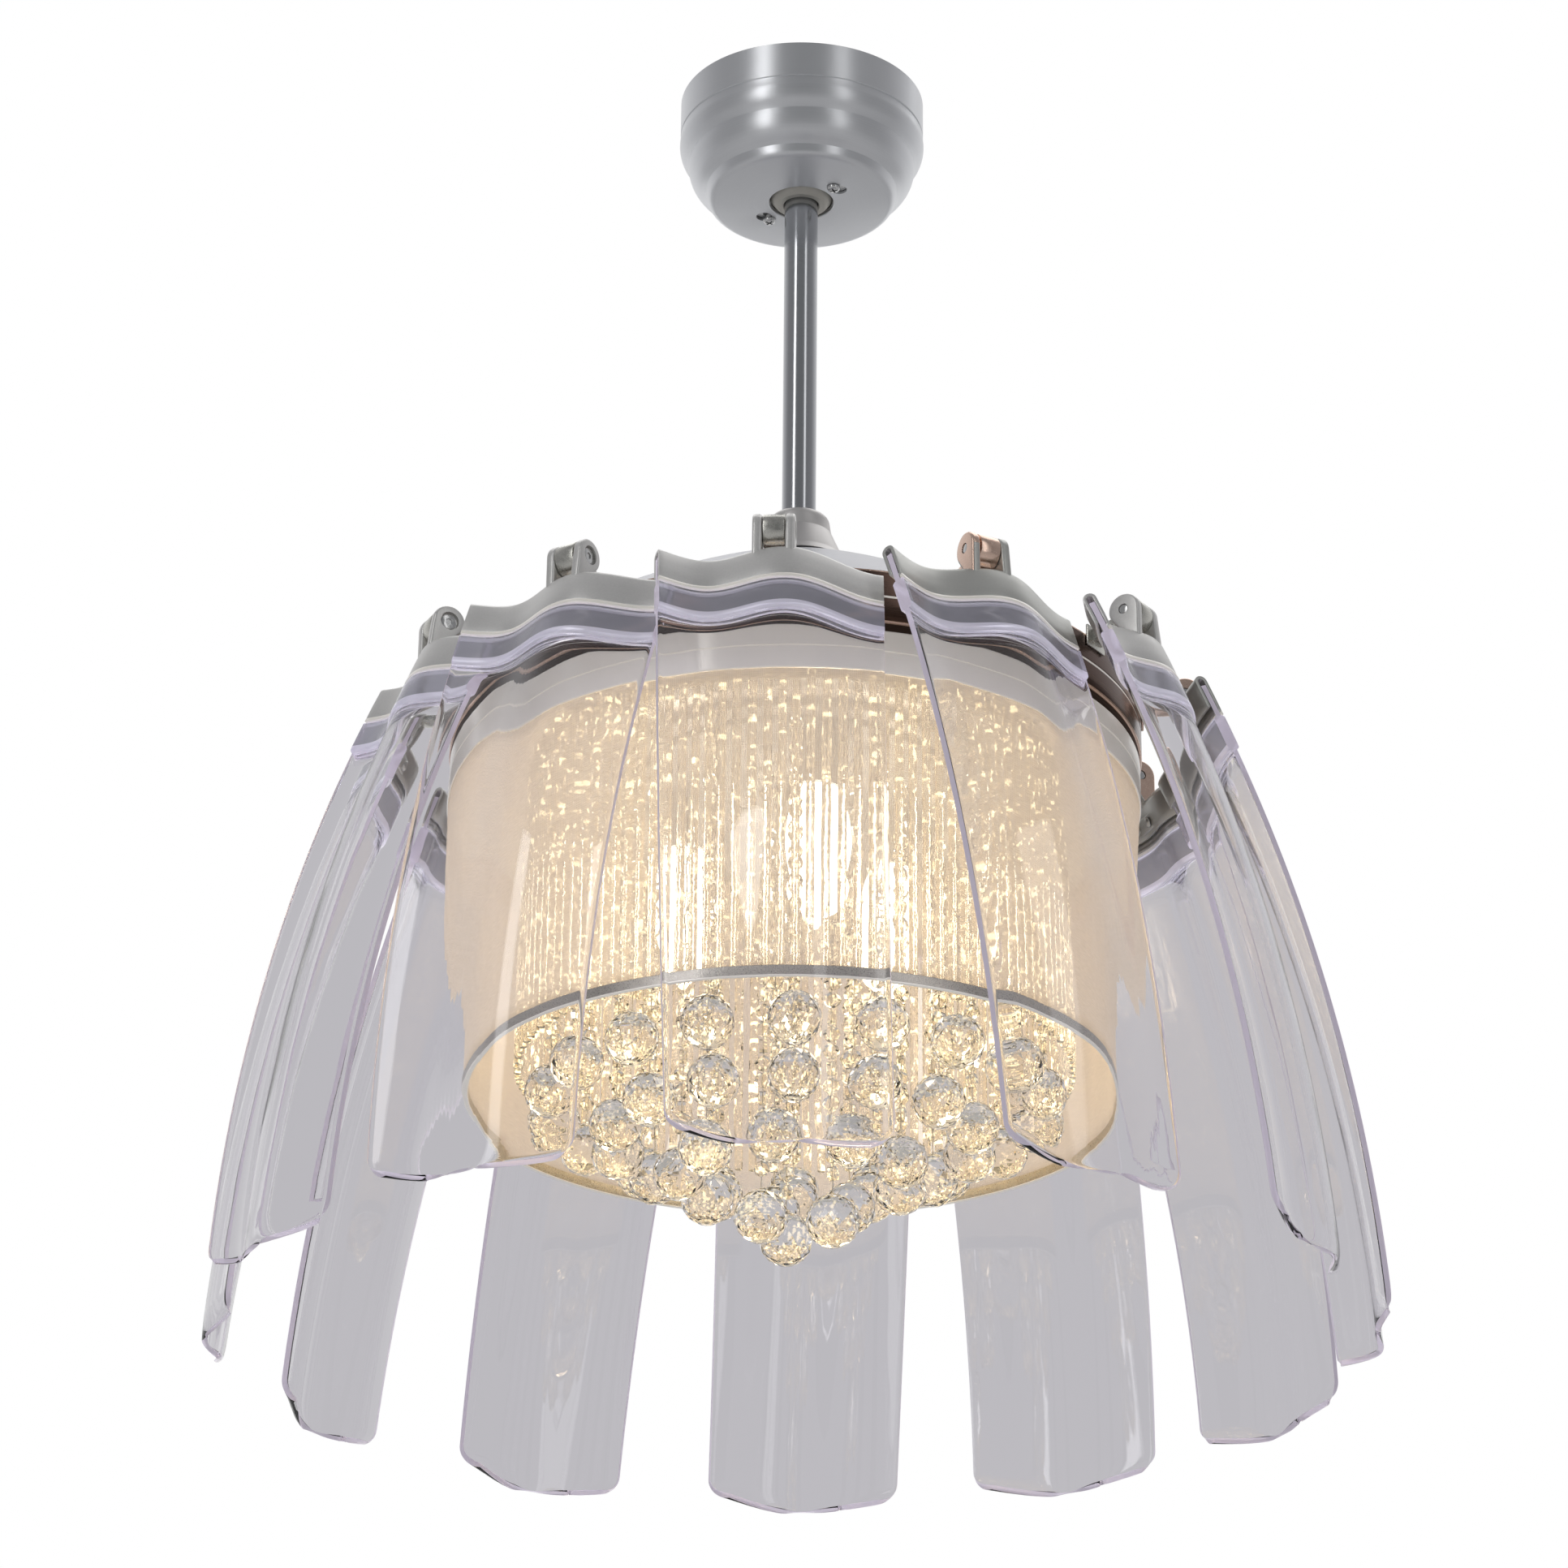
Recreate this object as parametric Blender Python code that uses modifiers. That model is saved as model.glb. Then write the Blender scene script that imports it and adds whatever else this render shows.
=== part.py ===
"""Chandelier ceiling fan: twelve hinged clear blades hang round a lit drum shade.

Units are metres and +Z is up. The origin is the middle of the face that meets the ceiling.
"""

import math

import bmesh
import bpy
from mathutils import Matrix, Vector

# Fits and cuts
CLEARANCE = 0.0003
OVERLAP = 0.001
CUT_OVERRUN = 0.004

# Round work: how many flats stand for a circle
LARGE_STEPS = 32
MEDIUM_STEPS = 20
SMALL_STEPS = 12
TINY_STEPS = 8
WIRE_STEPS = 3
SHARP_ANGLE = math.radians(35.0)

# Canopy, a spun cup that covers the hanger
CANOPY_RADIUS = 0.070
CANOPY_WALL = 0.0015
CANOPY_DEPTH = 0.064
CANOPY_BAND_DEPTH = 0.024
CANOPY_BEAD_RADIUS = 0.066
CANOPY_BEAD_DEPTH = 0.038
CANOPY_BOWL_RADIUS = 0.056
CANOPY_BOWL_DEPTH = 0.056
CANOPY_FLOOR_RADIUS = 0.051
CANOPY_HOLE_RADIUS = 0.0185
CANOPY_NOTCH = 0.0012
CANOPY_BULGE = 0.002
CANOPY_BOW_SEGMENTS = 2

# Hanger bracket: ceiling plate, two legs and the seat of the ball
PLATE_RADIUS = 0.058
PLATE_THICKNESS = 0.0025
PLATE_SCREW_OFFSET = 0.045
PLATE_SCREW_HOLE_RADIUS = 0.003
WIRE_HOLE_RADIUS = 0.008
WIRE_HOLE_OFFSET = 0.022
LEG_THICKNESS = 0.003
LEG_WIDTH = 0.022
SEAT_RADIUS = 0.035
SEAT_HEIGHT = 0.009

# Ball that the downrod hangs on
BALL_RADIUS = 0.021
BALL_CENTRE_DROP = 0.050
BALL_TOP_CUT = 0.0165
BALL_BOTTOM_CUT = 0.016
BALL_BANDS = 6

# Two screws in the seat, whose heads hold the canopy at its keyholes
CANOPY_SCREW_CIRCLE = 0.026
CANOPY_SCREW_RADIUS = 0.002
CANOPY_SCREW_HEAD_RADIUS = 0.0038
CANOPY_SCREW_HEAD = 0.0022
CANOPY_SCREW_AZIMUTH = 45.0
KEYHOLE_RADIUS = 0.0044
KEYHOLE_OFFSET = 0.0042

# Downrod and the bell that covers its lower joint
ROD_RADIUS = 0.0095
ROD_WALL = 0.002
ROD_ABOVE_BALL = 0.020
ROD_VISIBLE = 0.203
NECK_HEIGHT = 0.0315
NECK_SHOULDER_RADIUS = 0.0172
NECK_SHOULDER_DROP = 0.005
NECK_FOOT_RADIUS = 0.0285
NECK_HOLLOW = 0.002
NECK_BOW_SEGMENTS = 3
NECK_WALL = 0.0015
NECK_GAP = 0.0015

# Motor housing: dome above, ring with floor below, both turning
HOUSING_RADIUS = 0.188
DOME_HEIGHT = 0.091
DOME_WALL = 0.0012
DOME_TOP_RADIUS = 0.027
DOME_BULGE = 0.0045
DOME_BOW_SEGMENTS = 4
RING_HEIGHT = 0.030
RING_WALL = 0.003
HUB_DEPTH = 0.011
ROTOR_GAP = 0.004

# Stationary shaft, bearings, stator and magnets
SHAFT_RADIUS = 0.009
SHAFT_NECK_RADIUS = 0.007
SHAFT_BORE_RADIUS = 0.004
SHAFT_FLANGE_RADIUS = 0.012
SHAFT_FLANGE = 0.004
SHAFT_IN_ROD = 0.030
BEARING_RADIUS = 0.016
BEARING_HEIGHT = 0.008
STATOR_RADIUS = 0.055
STATOR_HEIGHT = 0.040
MAGNET_GAP = 0.0015
MAGNET_THICKNESS = 0.005
MAGNET_RIM = 0.006

# Light pan, lamp plate and lamps
PAN_RADIUS = 0.187
PAN_WALL = 0.0015
PAN_RIM = 0.0245
LAMP_COUNT = 3
LAMP_CIRCLE = 0.065
LAMP_AZIMUTH = 10.0
LAMP_PLATE_RADIUS = 0.084
LAMP_PLATE_THICKNESS = 0.002
SOCKET_RADIUS = 0.013
SOCKET_LENGTH = 0.034
LAMP_BASE_RADIUS = 0.0065
LAMP_BASE_LENGTH = 0.016
LAMP_BULB_RADIUS = 0.0175
LAMP_BULB_LENGTH = 0.080
LAMP_TIP_RADIUS = 0.0025
LAMP_SHOULDER_SHARE = 0.6
LAMP_WIDEST_SHARE = 0.30
LAMP_TAPER_SHARE = 0.68
LAMP_TAPER_WIDTH_SHARE = 0.4

# Drum shade and the metal ring at its foot
SHADE_SET_IN = 0.0005
SHADE_FOOT_RADIUS = 0.1785
SHADE_HEIGHT = 0.160
SHADE_WALL = 0.001
FOOT_RING_HEIGHT = 0.006
FOOT_RING_WIDTH = 0.0025

# Crystal rods and balls
CURTAIN_RADIUS = 0.150
CURTAIN_FLUTE = 0.003
CURTAIN_WALL = 0.003
CURTAIN_LENGTH = 0.174
CURTAIN_RODS = 36
CRYSTAL_RADIUS = 0.0145
CRYSTAL_WIRE_RADIUS = 0.0006
CARRIER_THICKNESS = 0.002
CARRIER_MARGIN = 0.006
CRYSTAL_SIDES = 6
CRYSTAL_BANDS = 4

# Four tiers of crystal balls: how many, how far out, how far below the pan, first azimuth
OUTER_COUNT = 18
OUTER_CIRCLE = 0.130
OUTER_DROP = 0.194
OUTER_AZIMUTH = 0.0
MIDDLE_COUNT = 14
MIDDLE_CIRCLE = 0.096
MIDDLE_DROP = 0.212
MIDDLE_AZIMUTH = 0.0
INNER_COUNT = 9
INNER_CIRCLE = 0.060
INNER_DROP = 0.231
INNER_AZIMUTH = 30.0
CENTRE_COUNT = 3
CENTRE_CIRCLE = 0.022
CENTRE_DROP = 0.2595
CENTRE_AZIMUTH = 70.0

# Blade hinges
BLADE_COUNT = 12
FIRST_BLADE_AZIMUTH = -3.35
HINGE_OUTSIDE_RING = 0.024
HINGE_ABOVE_RING = 0.007
BOSS_RADIUS = 0.0088
BOSS_LENGTH = 0.0112
EAR_RADIUS = 0.009
EAR_THICKNESS = 0.005
EAR_GAP = 0.0004
PIN_RADIUS = 0.0025
ARM_WIDTH = 0.010
ARM_HEIGHT = 0.008
ARM_BELOW_HINGE_AT_RING = 0.0078
ARM_BELOW_HINGE_AT_BOSS = 0.002

# Brackets that grip the blade roots
CHANNEL_OUTSIDE_HINGE = 0.008
CHANNEL_BELOW_HINGE = 0.017
CHANNEL_OUTER_LENGTH = 0.021
CHANNEL_INNER_LENGTH = 0.015
CHANNEL_WALL = 0.0018

# Blades: length runs down a leaning arc, width runs across a wave
BLADE_REACH = 0.3615
BLADE_THICKNESS = 0.003
BLADE_ROOT_LEAN = math.radians(23.8)
BLADE_TIP_LEAN = math.radians(3.5)
LIP_EDGE_ROOT = -0.0595
LIP_EDGE_TIP = -0.042
TUCK_EDGE_ROOT = 0.055
TUCK_EDGE_TIP = 0.064
PAD_LENGTH = 0.019
PAD_THICKNESS = 0.007
PAD_STEP = 0.0008
TIP_CORNER_RADIUS = 0.014
TIP_CONVEXITY = 0.006
WAVE_HEIGHT_ROOT = 0.0057
WAVE_HEIGHT_TIP = 0.0025
WAVE_TILT_ROOT = 0.0075
WAVE_TILT_TIP = 0.008
WAVE_DROOP_ROOT = 0.0066
WAVE_DROOP_TIP = 0.010
WAVE_CREST_SHARE = 0.58
WAVE_LENGTH_SHARE = 0.74
BLADE_STRIPS = 8
BLADE_ROW_SHARES = (0.30, 0.62)
CORNER_CUT_SHARE = 1.0 - math.cos(math.radians(45.0))

# Levels worked out from the sizes above, from the ceiling down
CANOPY_FLOOR = -CANOPY_DEPTH + CANOPY_WALL
BALL_CENTRE = -BALL_CENTRE_DROP
SEAT_BOTTOM = CANOPY_FLOOR + CLEARANCE
SEAT_TOP = SEAT_BOTTOM + SEAT_HEIGHT
ROD_TOP = BALL_CENTRE + ROD_ABOVE_BALL
NECK_TOP = -CANOPY_DEPTH - ROD_VISIBLE
NECK_FOOT = NECK_TOP - NECK_HEIGHT
DOME_TOP = NECK_FOOT - NECK_GAP
ROD_FOOT = DOME_TOP - CLEARANCE
RING_TOP = DOME_TOP - DOME_HEIGHT
RING_BOTTOM = RING_TOP - RING_HEIGHT
PAN_TOP = RING_BOTTOM - ROTOR_GAP
PAN_UNDERSIDE = PAN_TOP - PAN_WALL
PAN_FOOT = PAN_TOP - PAN_RIM
LAMP_PLATE_TOP = PAN_UNDERSIDE - CLEARANCE
LAMP_PLATE_BOTTOM = LAMP_PLATE_TOP - LAMP_PLATE_THICKNESS
CARRIER_TOP = LAMP_PLATE_BOTTOM - CLEARANCE
CARRIER_BOTTOM = CARRIER_TOP - CARRIER_THICKNESS
FLANGE_TOP = CARRIER_BOTTOM - CLEARANCE
SOCKET_FOOT = LAMP_PLATE_BOTTOM - SOCKET_LENGTH
SHADE_TOP_RADIUS = PAN_RADIUS - SHADE_SET_IN
SHADE_TOP = PAN_FOOT - CLEARANCE
SHADE_FOOT = SHADE_TOP - SHADE_HEIGHT
FOOT_RING_TOP = SHADE_FOOT - CLEARANCE
HINGE_RADIUS = HOUSING_RADIUS + HINGE_OUTSIDE_RING
HINGE_LEVEL = RING_TOP + HINGE_ABOVE_RING

parts = bpy.data.collections.new("chandelier_ceiling_fan")
cutters = bpy.data.collections.new("cutters")


def finish(name, colour, roughness, metallic, alpha=1.0):
    """A Principled material for one finish of the fan."""
    material = bpy.data.materials.new(name)
    material.use_nodes = True
    shader = material.node_tree.nodes["Principled BSDF"]
    shader.inputs["Base Color"].default_value = (*colour, 1.0)
    shader.inputs["Roughness"].default_value = roughness
    shader.inputs["Metallic"].default_value = metallic
    shader.inputs["Alpha"].default_value = alpha
    return material


def turn_to(azimuth):
    """Rotation that carries +X to an azimuth counted from the front towards the right."""
    return Matrix.Rotation(math.radians(azimuth - 90.0), 4, "Z")


def radial(radius, azimuth, level=0.0):
    return turn_to(azimuth) @ Vector((radius, 0.0, level))


def ring_azimuths(count, first):
    return [first + 360.0 * index / count for index in range(count)]


def mix(start, end, share):
    return start + (end - start) * share


def bowed(start, end, bulge, segments):
    """Points from start to end of a profile, bowed outwards by bulge at the middle."""
    chord = Vector(end) - Vector(start)
    outward = Vector((-chord.y, chord.x)).normalized()
    points = []
    for index in range(segments + 1):
        share = index / segments
        lift = 4.0 * bulge * share * (1.0 - share)
        points.append(Vector(start) + chord * share + outward * lift)
    return [(point.x, point.y) for point in points]


def link(obj, collection):
    for old in obj.users_collection:
        old.objects.unlink(obj)
    collection.objects.link(obj)
    return obj


def mesh_object(name, build):
    """An object whose mesh is made by the function build, which fills a bmesh."""
    mesh = bpy.data.meshes.new(name)
    work = bmesh.new()
    build(work)
    work.to_mesh(mesh)
    work.free()
    return link(bpy.data.objects.new(name, mesh), parts)


def solidify(obj, wall, offset=-1.0):
    modifier = obj.modifiers.new("wall", "SOLIDIFY")
    modifier.thickness = wall
    modifier.offset = offset
    modifier.use_even_offset = True
    return modifier


def combine(obj, tool, operation):
    """Joins a helper to the object or cuts it away, and puts the helper with the cutters."""
    link(tool, cutters)
    tool.hide_render = True
    tool.display_type = "WIRE"
    modifier = obj.modifiers.new(tool.name, "BOOLEAN")
    modifier.operation = operation
    modifier.object = tool
    return obj


def revolve(name, profile, steps, closed=True):
    """Turns a profile of radius and level about Z. It runs down its outer side."""

    def build(work):
        points = [work.verts.new((radius, 0.0, level)) for radius, level in profile]
        for first, second in zip(points, points[1:]):
            work.edges.new((first, second))
        if closed:
            work.edges.new((points[-1], points[0]))

    obj = mesh_object(name, build)
    screw = obj.modifiers.new("turn", "SCREW")
    screw.steps = steps
    screw.render_steps = steps
    screw.use_merge_vertices = True
    screw.merge_threshold = CLEARANCE / 10.0
    return obj


def shell(name, profile, wall, steps):
    """A spun sheet whose outer face follows the profile."""
    obj = revolve(name, profile, steps, closed=False)
    solidify(obj, wall)
    return obj


def band(inner, outer, top, bottom):
    """Closed profile of a plain ring."""
    return [(outer, top), (outer, bottom), (inner, bottom), (inner, top)]


def add_cylinder(work, radius, top, bottom, steps, centre=(0.0, 0.0)):
    matrix = Matrix.Translation((centre[0], centre[1], (top + bottom) / 2.0))
    bmesh.ops.create_cone(
        work, cap_ends=True, segments=steps, radius1=radius, radius2=radius,
        depth=top - bottom, matrix=matrix,
    )


def add_box(work, size, matrix):
    scale = Matrix.Diagonal((*size, 1.0))
    bmesh.ops.create_cube(work, size=1.0, matrix=matrix @ scale)


def done(obj, material, parent=None):
    """Bakes the modifiers, gives the finish and hangs the piece from its pivot."""
    bpy.context.view_layer.update()
    graph = bpy.context.evaluated_depsgraph_get()
    baked = bpy.data.meshes.new_from_object(obj.evaluated_get(graph))
    baked.name = obj.name
    obj.modifiers.clear()
    obj.data = baked
    baked.materials.clear()
    baked.materials.append(material)
    baked.shade_smooth()
    baked.set_sharp_from_angle(angle=SHARP_ANGLE)
    if parent:
        obj.parent = parent
        obj.matrix_parent_inverse = parent.matrix_world.inverted()
    return obj


def pivot(name, place, parent=None):
    """An empty on a joint's axis."""
    empty = link(bpy.data.objects.new(name, None), parts)
    empty.matrix_world = place
    bpy.context.view_layer.update()
    if parent:
        empty.parent = parent
        empty.matrix_parent_inverse = parent.matrix_world.inverted()
        bpy.context.view_layer.update()
    return empty


def make_canopy(material):
    band_foot = -CANOPY_BAND_DEPTH
    bead_foot = -CANOPY_BEAD_DEPTH
    bowl_foot = -CANOPY_BOWL_DEPTH
    segments = CANOPY_BOW_SEGMENTS
    profile = [(CANOPY_RADIUS, 0.0)]
    profile += bowed((CANOPY_RADIUS, band_foot), (CANOPY_BEAD_RADIUS, bead_foot), CANOPY_BULGE, segments)
    bowl_top = (CANOPY_BEAD_RADIUS - CANOPY_NOTCH, bead_foot - CANOPY_NOTCH)
    profile += bowed(bowl_top, (CANOPY_BOWL_RADIUS, bowl_foot), CANOPY_BULGE, segments)
    profile.append((CANOPY_FLOOR_RADIUS, -CANOPY_DEPTH))
    profile.append((CANOPY_HOLE_RADIUS, -CANOPY_DEPTH))
    obj = shell("canopy", profile, CANOPY_WALL, MEDIUM_STEPS)

    def keyholes(work):
        top = -CANOPY_DEPTH + CUT_OVERRUN
        bottom = -CANOPY_DEPTH - CUT_OVERRUN
        for azimuth in ring_azimuths(2, CANOPY_SCREW_AZIMUTH):
            along = radial(1.0, azimuth + 90.0)
            slot = radial(CANOPY_SCREW_CIRCLE, azimuth)
            wide = slot + along * KEYHOLE_OFFSET
            radius = CANOPY_SCREW_RADIUS + CLEARANCE
            add_cylinder(work, radius, top, bottom, TINY_STEPS, slot)
            add_cylinder(work, KEYHOLE_RADIUS, top, bottom, TINY_STEPS, wide)

    cutter = mesh_object("keyholes", keyholes)
    modifier = combine(obj, cutter, "DIFFERENCE").modifiers[-1]
    modifier.use_self = True
    return done(obj, material)


def make_hanger_bracket(material):
    seat_profile = [
        (SEAT_RADIUS, SEAT_TOP),
        (SEAT_RADIUS, SEAT_BOTTOM),
        (seat_cone_radius(SEAT_BOTTOM), SEAT_BOTTOM),
        (seat_cone_radius(SEAT_TOP), SEAT_TOP),
    ]

    def plate(work):
        add_cylinder(work, PLATE_RADIUS, 0.0, -PLATE_THICKNESS, MEDIUM_STEPS)

    def legs(work):
        top = -PLATE_THICKNESS + OVERLAP
        size = (LEG_THICKNESS, LEG_WIDTH, top - SEAT_BOTTOM - OVERLAP)
        middle = (top + SEAT_BOTTOM + OVERLAP) / 2.0
        for side in (-1.0, 1.0):
            reach = side * (SEAT_RADIUS - LEG_THICKNESS / 2.0 + OVERLAP)
            add_box(work, size, Matrix.Translation((reach, 0.0, middle)))

    def holes(work):
        top = CUT_OVERRUN
        bottom = -PLATE_THICKNESS - CUT_OVERRUN
        for side in (-1.0, 1.0):
            place = (0.0, side * PLATE_SCREW_OFFSET)
            add_cylinder(work, PLATE_SCREW_HOLE_RADIUS, top, bottom, TINY_STEPS, place)
        add_cylinder(work, WIRE_HOLE_RADIUS, top, bottom, SMALL_STEPS, (0.0, WIRE_HOLE_OFFSET))

    obj = mesh_object("hanger_bracket", plate)
    combine(obj, mesh_object("hanger_legs", legs), "UNION")
    combine(obj, revolve("ball_seat", seat_profile, MEDIUM_STEPS), "UNION")
    for index, azimuth in enumerate(ring_azimuths(2, CANOPY_SCREW_AZIMUTH)):
        combine(obj, canopy_screw(f"canopy_screw_{index + 1}", azimuth), "UNION")
    combine(obj, mesh_object("hanger_holes", holes), "DIFFERENCE")
    return done(obj, material)


def canopy_screw(name, azimuth):
    """A screw that stays in the seat while the canopy turns off its head."""
    head_top = -CANOPY_DEPTH - CLEARANCE
    head_foot = head_top - CANOPY_SCREW_HEAD
    tip = SEAT_BOTTOM + SEAT_HEIGHT / 2.0
    profile = [
        (0.0, tip),
        (CANOPY_SCREW_RADIUS, tip),
        (CANOPY_SCREW_RADIUS, head_top),
        (CANOPY_SCREW_HEAD_RADIUS, head_top),
        (CANOPY_SCREW_HEAD_RADIUS, head_foot),
        (0.0, head_foot),
    ]
    screw = revolve(name, profile, TINY_STEPS, closed=False)
    screw.location = radial(CANOPY_SCREW_CIRCLE, azimuth)
    return screw


def seat_cone_radius(level):
    """Radius of the conical seat, which touches the ball along one circle."""
    top = math.asin((SEAT_TOP - BALL_CENTRE) / BALL_RADIUS)
    bottom = math.asin((SEAT_BOTTOM - BALL_CENTRE) / BALL_RADIUS)
    touch = (top + bottom) / 2.0
    reach = BALL_RADIUS + CLEARANCE - (level - BALL_CENTRE) * math.sin(touch)
    return reach / math.cos(touch)


def make_hanger_ball(material, parent):
    top = math.asin(BALL_TOP_CUT / BALL_RADIUS)
    bottom = -math.asin(BALL_BOTTOM_CUT / BALL_RADIUS)
    profile = []
    for index in range(BALL_BANDS + 1):
        angle = mix(top, bottom, index / BALL_BANDS)
        level = BALL_CENTRE + BALL_RADIUS * math.sin(angle)
        profile.append((BALL_RADIUS * math.cos(angle), level))
    bore = ROD_RADIUS + CLEARANCE
    profile.append((bore, profile[-1][1]))
    profile.append((bore, profile[0][1]))
    return done(revolve("hanger_ball", profile, MEDIUM_STEPS), material, parent)


def make_downrod(material, parent):
    profile = band(ROD_RADIUS - ROD_WALL, ROD_RADIUS, ROD_TOP, ROD_FOOT)
    return done(revolve("downrod", profile, MEDIUM_STEPS), material, parent)


def make_neck_cover(material, parent):
    shoulder = NECK_TOP - NECK_SHOULDER_DROP
    profile = [(ROD_RADIUS + CLEARANCE, NECK_TOP)]
    start = (mix(ROD_RADIUS, NECK_SHOULDER_RADIUS, 0.5), NECK_TOP)
    waist = (NECK_SHOULDER_RADIUS, shoulder)
    profile += [start, waist]
    profile += bowed(waist, (NECK_FOOT_RADIUS, NECK_FOOT), -NECK_HOLLOW, NECK_BOW_SEGMENTS)[1:]
    return done(shell("neck_cover", profile, NECK_WALL, MEDIUM_STEPS), material, parent)


def make_motor_dome(material, parent):
    hub = BEARING_RADIUS + CLEARANCE
    profile = [(hub, DOME_TOP - HUB_DEPTH), (hub, DOME_TOP), (DOME_TOP_RADIUS, DOME_TOP)]
    rim = (HOUSING_RADIUS - RING_WALL - CLEARANCE, RING_TOP)
    profile += bowed((DOME_TOP_RADIUS, DOME_TOP), rim, DOME_BULGE, DOME_BOW_SEGMENTS)[1:]
    return done(shell("motor_dome", profile, DOME_WALL, LARGE_STEPS), material, parent)


def add_arm(work, azimuth):
    """One arm in the hinge's own frame, then carried to its azimuth."""
    inner = Vector((HOUSING_RADIUS - RING_WALL + CLEARANCE, 0.0, HINGE_LEVEL - ARM_BELOW_HINGE_AT_RING))
    outer = Vector((HINGE_RADIUS, 0.0, HINGE_LEVEL - ARM_BELOW_HINGE_AT_BOSS))
    run = outer - inner
    slope = Matrix.Rotation(-math.atan2(run.z, run.x), 4, "Y")
    place = turn_to(azimuth) @ Matrix.Translation((inner + outer) / 2.0) @ slope
    add_box(work, (run.length, ARM_WIDTH, ARM_HEIGHT), place)


def add_round(work, radius, length, steps, place):
    """A round bar on the hinge axis, which runs along the width of the blade."""
    matrix = place @ Matrix.Rotation(math.radians(90.0), 4, "X")
    bmesh.ops.create_cone(
        work, cap_ends=True, segments=steps, radius1=radius, radius2=radius,
        depth=length, matrix=matrix,
    )


def hinge_place(azimuth):
    return turn_to(azimuth) @ Matrix.Translation((HINGE_RADIUS, 0.0, HINGE_LEVEL))


def blade_azimuths():
    return ring_azimuths(BLADE_COUNT, FIRST_BLADE_AZIMUTH)


def make_rotor_ring(material, parent):
    hub = BEARING_RADIUS + CLEARANCE
    profile = [
        (HOUSING_RADIUS, RING_TOP),
        (HOUSING_RADIUS, RING_BOTTOM),
        (hub, RING_BOTTOM),
        (hub, RING_BOTTOM + HUB_DEPTH),
    ]

    def arms(work):
        for azimuth in blade_azimuths():
            add_arm(work, azimuth)

    def bosses(work):
        for azimuth in blade_azimuths():
            add_round(work, BOSS_RADIUS, BOSS_LENGTH, SMALL_STEPS, hinge_place(azimuth))

    def bores(work):
        radius = PIN_RADIUS + CLEARANCE
        for azimuth in blade_azimuths():
            length = BOSS_LENGTH + CUT_OVERRUN
            add_round(work, radius, length, TINY_STEPS, hinge_place(azimuth))

    obj = shell("rotor_ring", profile, RING_WALL, LARGE_STEPS)
    combine(obj, mesh_object("ring_arms", arms), "UNION")
    combine(obj, mesh_object("ring_bosses", bosses), "UNION")
    combine(obj, mesh_object("ring_bores", bores), "DIFFERENCE")
    return done(obj, material, parent)


def make_motor_core(steel, copper, dark, fixed, turning):
    """Shaft and stator stand still. Bearings and magnets turn with the housing."""
    top = NECK_TOP + SHAFT_IN_ROD
    inside_rod = ROD_RADIUS - ROD_WALL - CLEARANCE
    profile = [
        (inside_rod, top),
        (inside_rod, ROD_FOOT - CLEARANCE),
        (SHAFT_RADIUS, ROD_FOOT - CLEARANCE),
        (SHAFT_RADIUS, PAN_TOP + CLEARANCE),
        (SHAFT_NECK_RADIUS, PAN_TOP + CLEARANCE),
        (SHAFT_NECK_RADIUS, FLANGE_TOP),
        (SHAFT_FLANGE_RADIUS, FLANGE_TOP),
        (SHAFT_FLANGE_RADIUS, FLANGE_TOP - SHAFT_FLANGE),
        (SHAFT_BORE_RADIUS, FLANGE_TOP - SHAFT_FLANGE),
        (SHAFT_BORE_RADIUS, top),
    ]
    done(revolve("motor_shaft", profile, SMALL_STEPS), steel, fixed)
    bore = SHAFT_RADIUS + CLEARANCE
    housing_middle = (DOME_TOP + RING_BOTTOM) / 2.0
    stator_top = housing_middle + STATOR_HEIGHT / 2.0
    stator_foot = housing_middle - STATOR_HEIGHT / 2.0
    stator = band(bore, STATOR_RADIUS, stator_top, stator_foot)
    done(revolve("stator", stator, MEDIUM_STEPS), copper, fixed)
    upper = DOME_TOP - HUB_DEPTH + BEARING_HEIGHT
    lower = RING_BOTTOM + HUB_DEPTH
    for name, level in (("upper_bearing", upper), ("lower_bearing", lower)):
        race = band(bore, BEARING_RADIUS, level, level - BEARING_HEIGHT)
        done(revolve(name, race, SMALL_STEPS), steel, turning)
    inner = STATOR_RADIUS + MAGNET_GAP
    magnet_top = stator_top + MAGNET_RIM
    magnet_foot = RING_BOTTOM + RING_WALL + CLEARANCE
    magnet = band(inner, inner + MAGNET_THICKNESS, magnet_top, magnet_foot)
    done(revolve("magnet_ring", magnet, MEDIUM_STEPS), dark, turning)


def make_light_pan(material, parent):
    hole = SHAFT_NECK_RADIUS + CLEARANCE
    profile = [(hole, PAN_TOP), (PAN_RADIUS, PAN_TOP), (PAN_RADIUS, PAN_FOOT)]
    return done(shell("light_pan", profile, PAN_WALL, LARGE_STEPS), material, parent)


def lamp_places():
    return [radial(LAMP_CIRCLE, azimuth) for azimuth in ring_azimuths(LAMP_COUNT, LAMP_AZIMUTH)]


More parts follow.
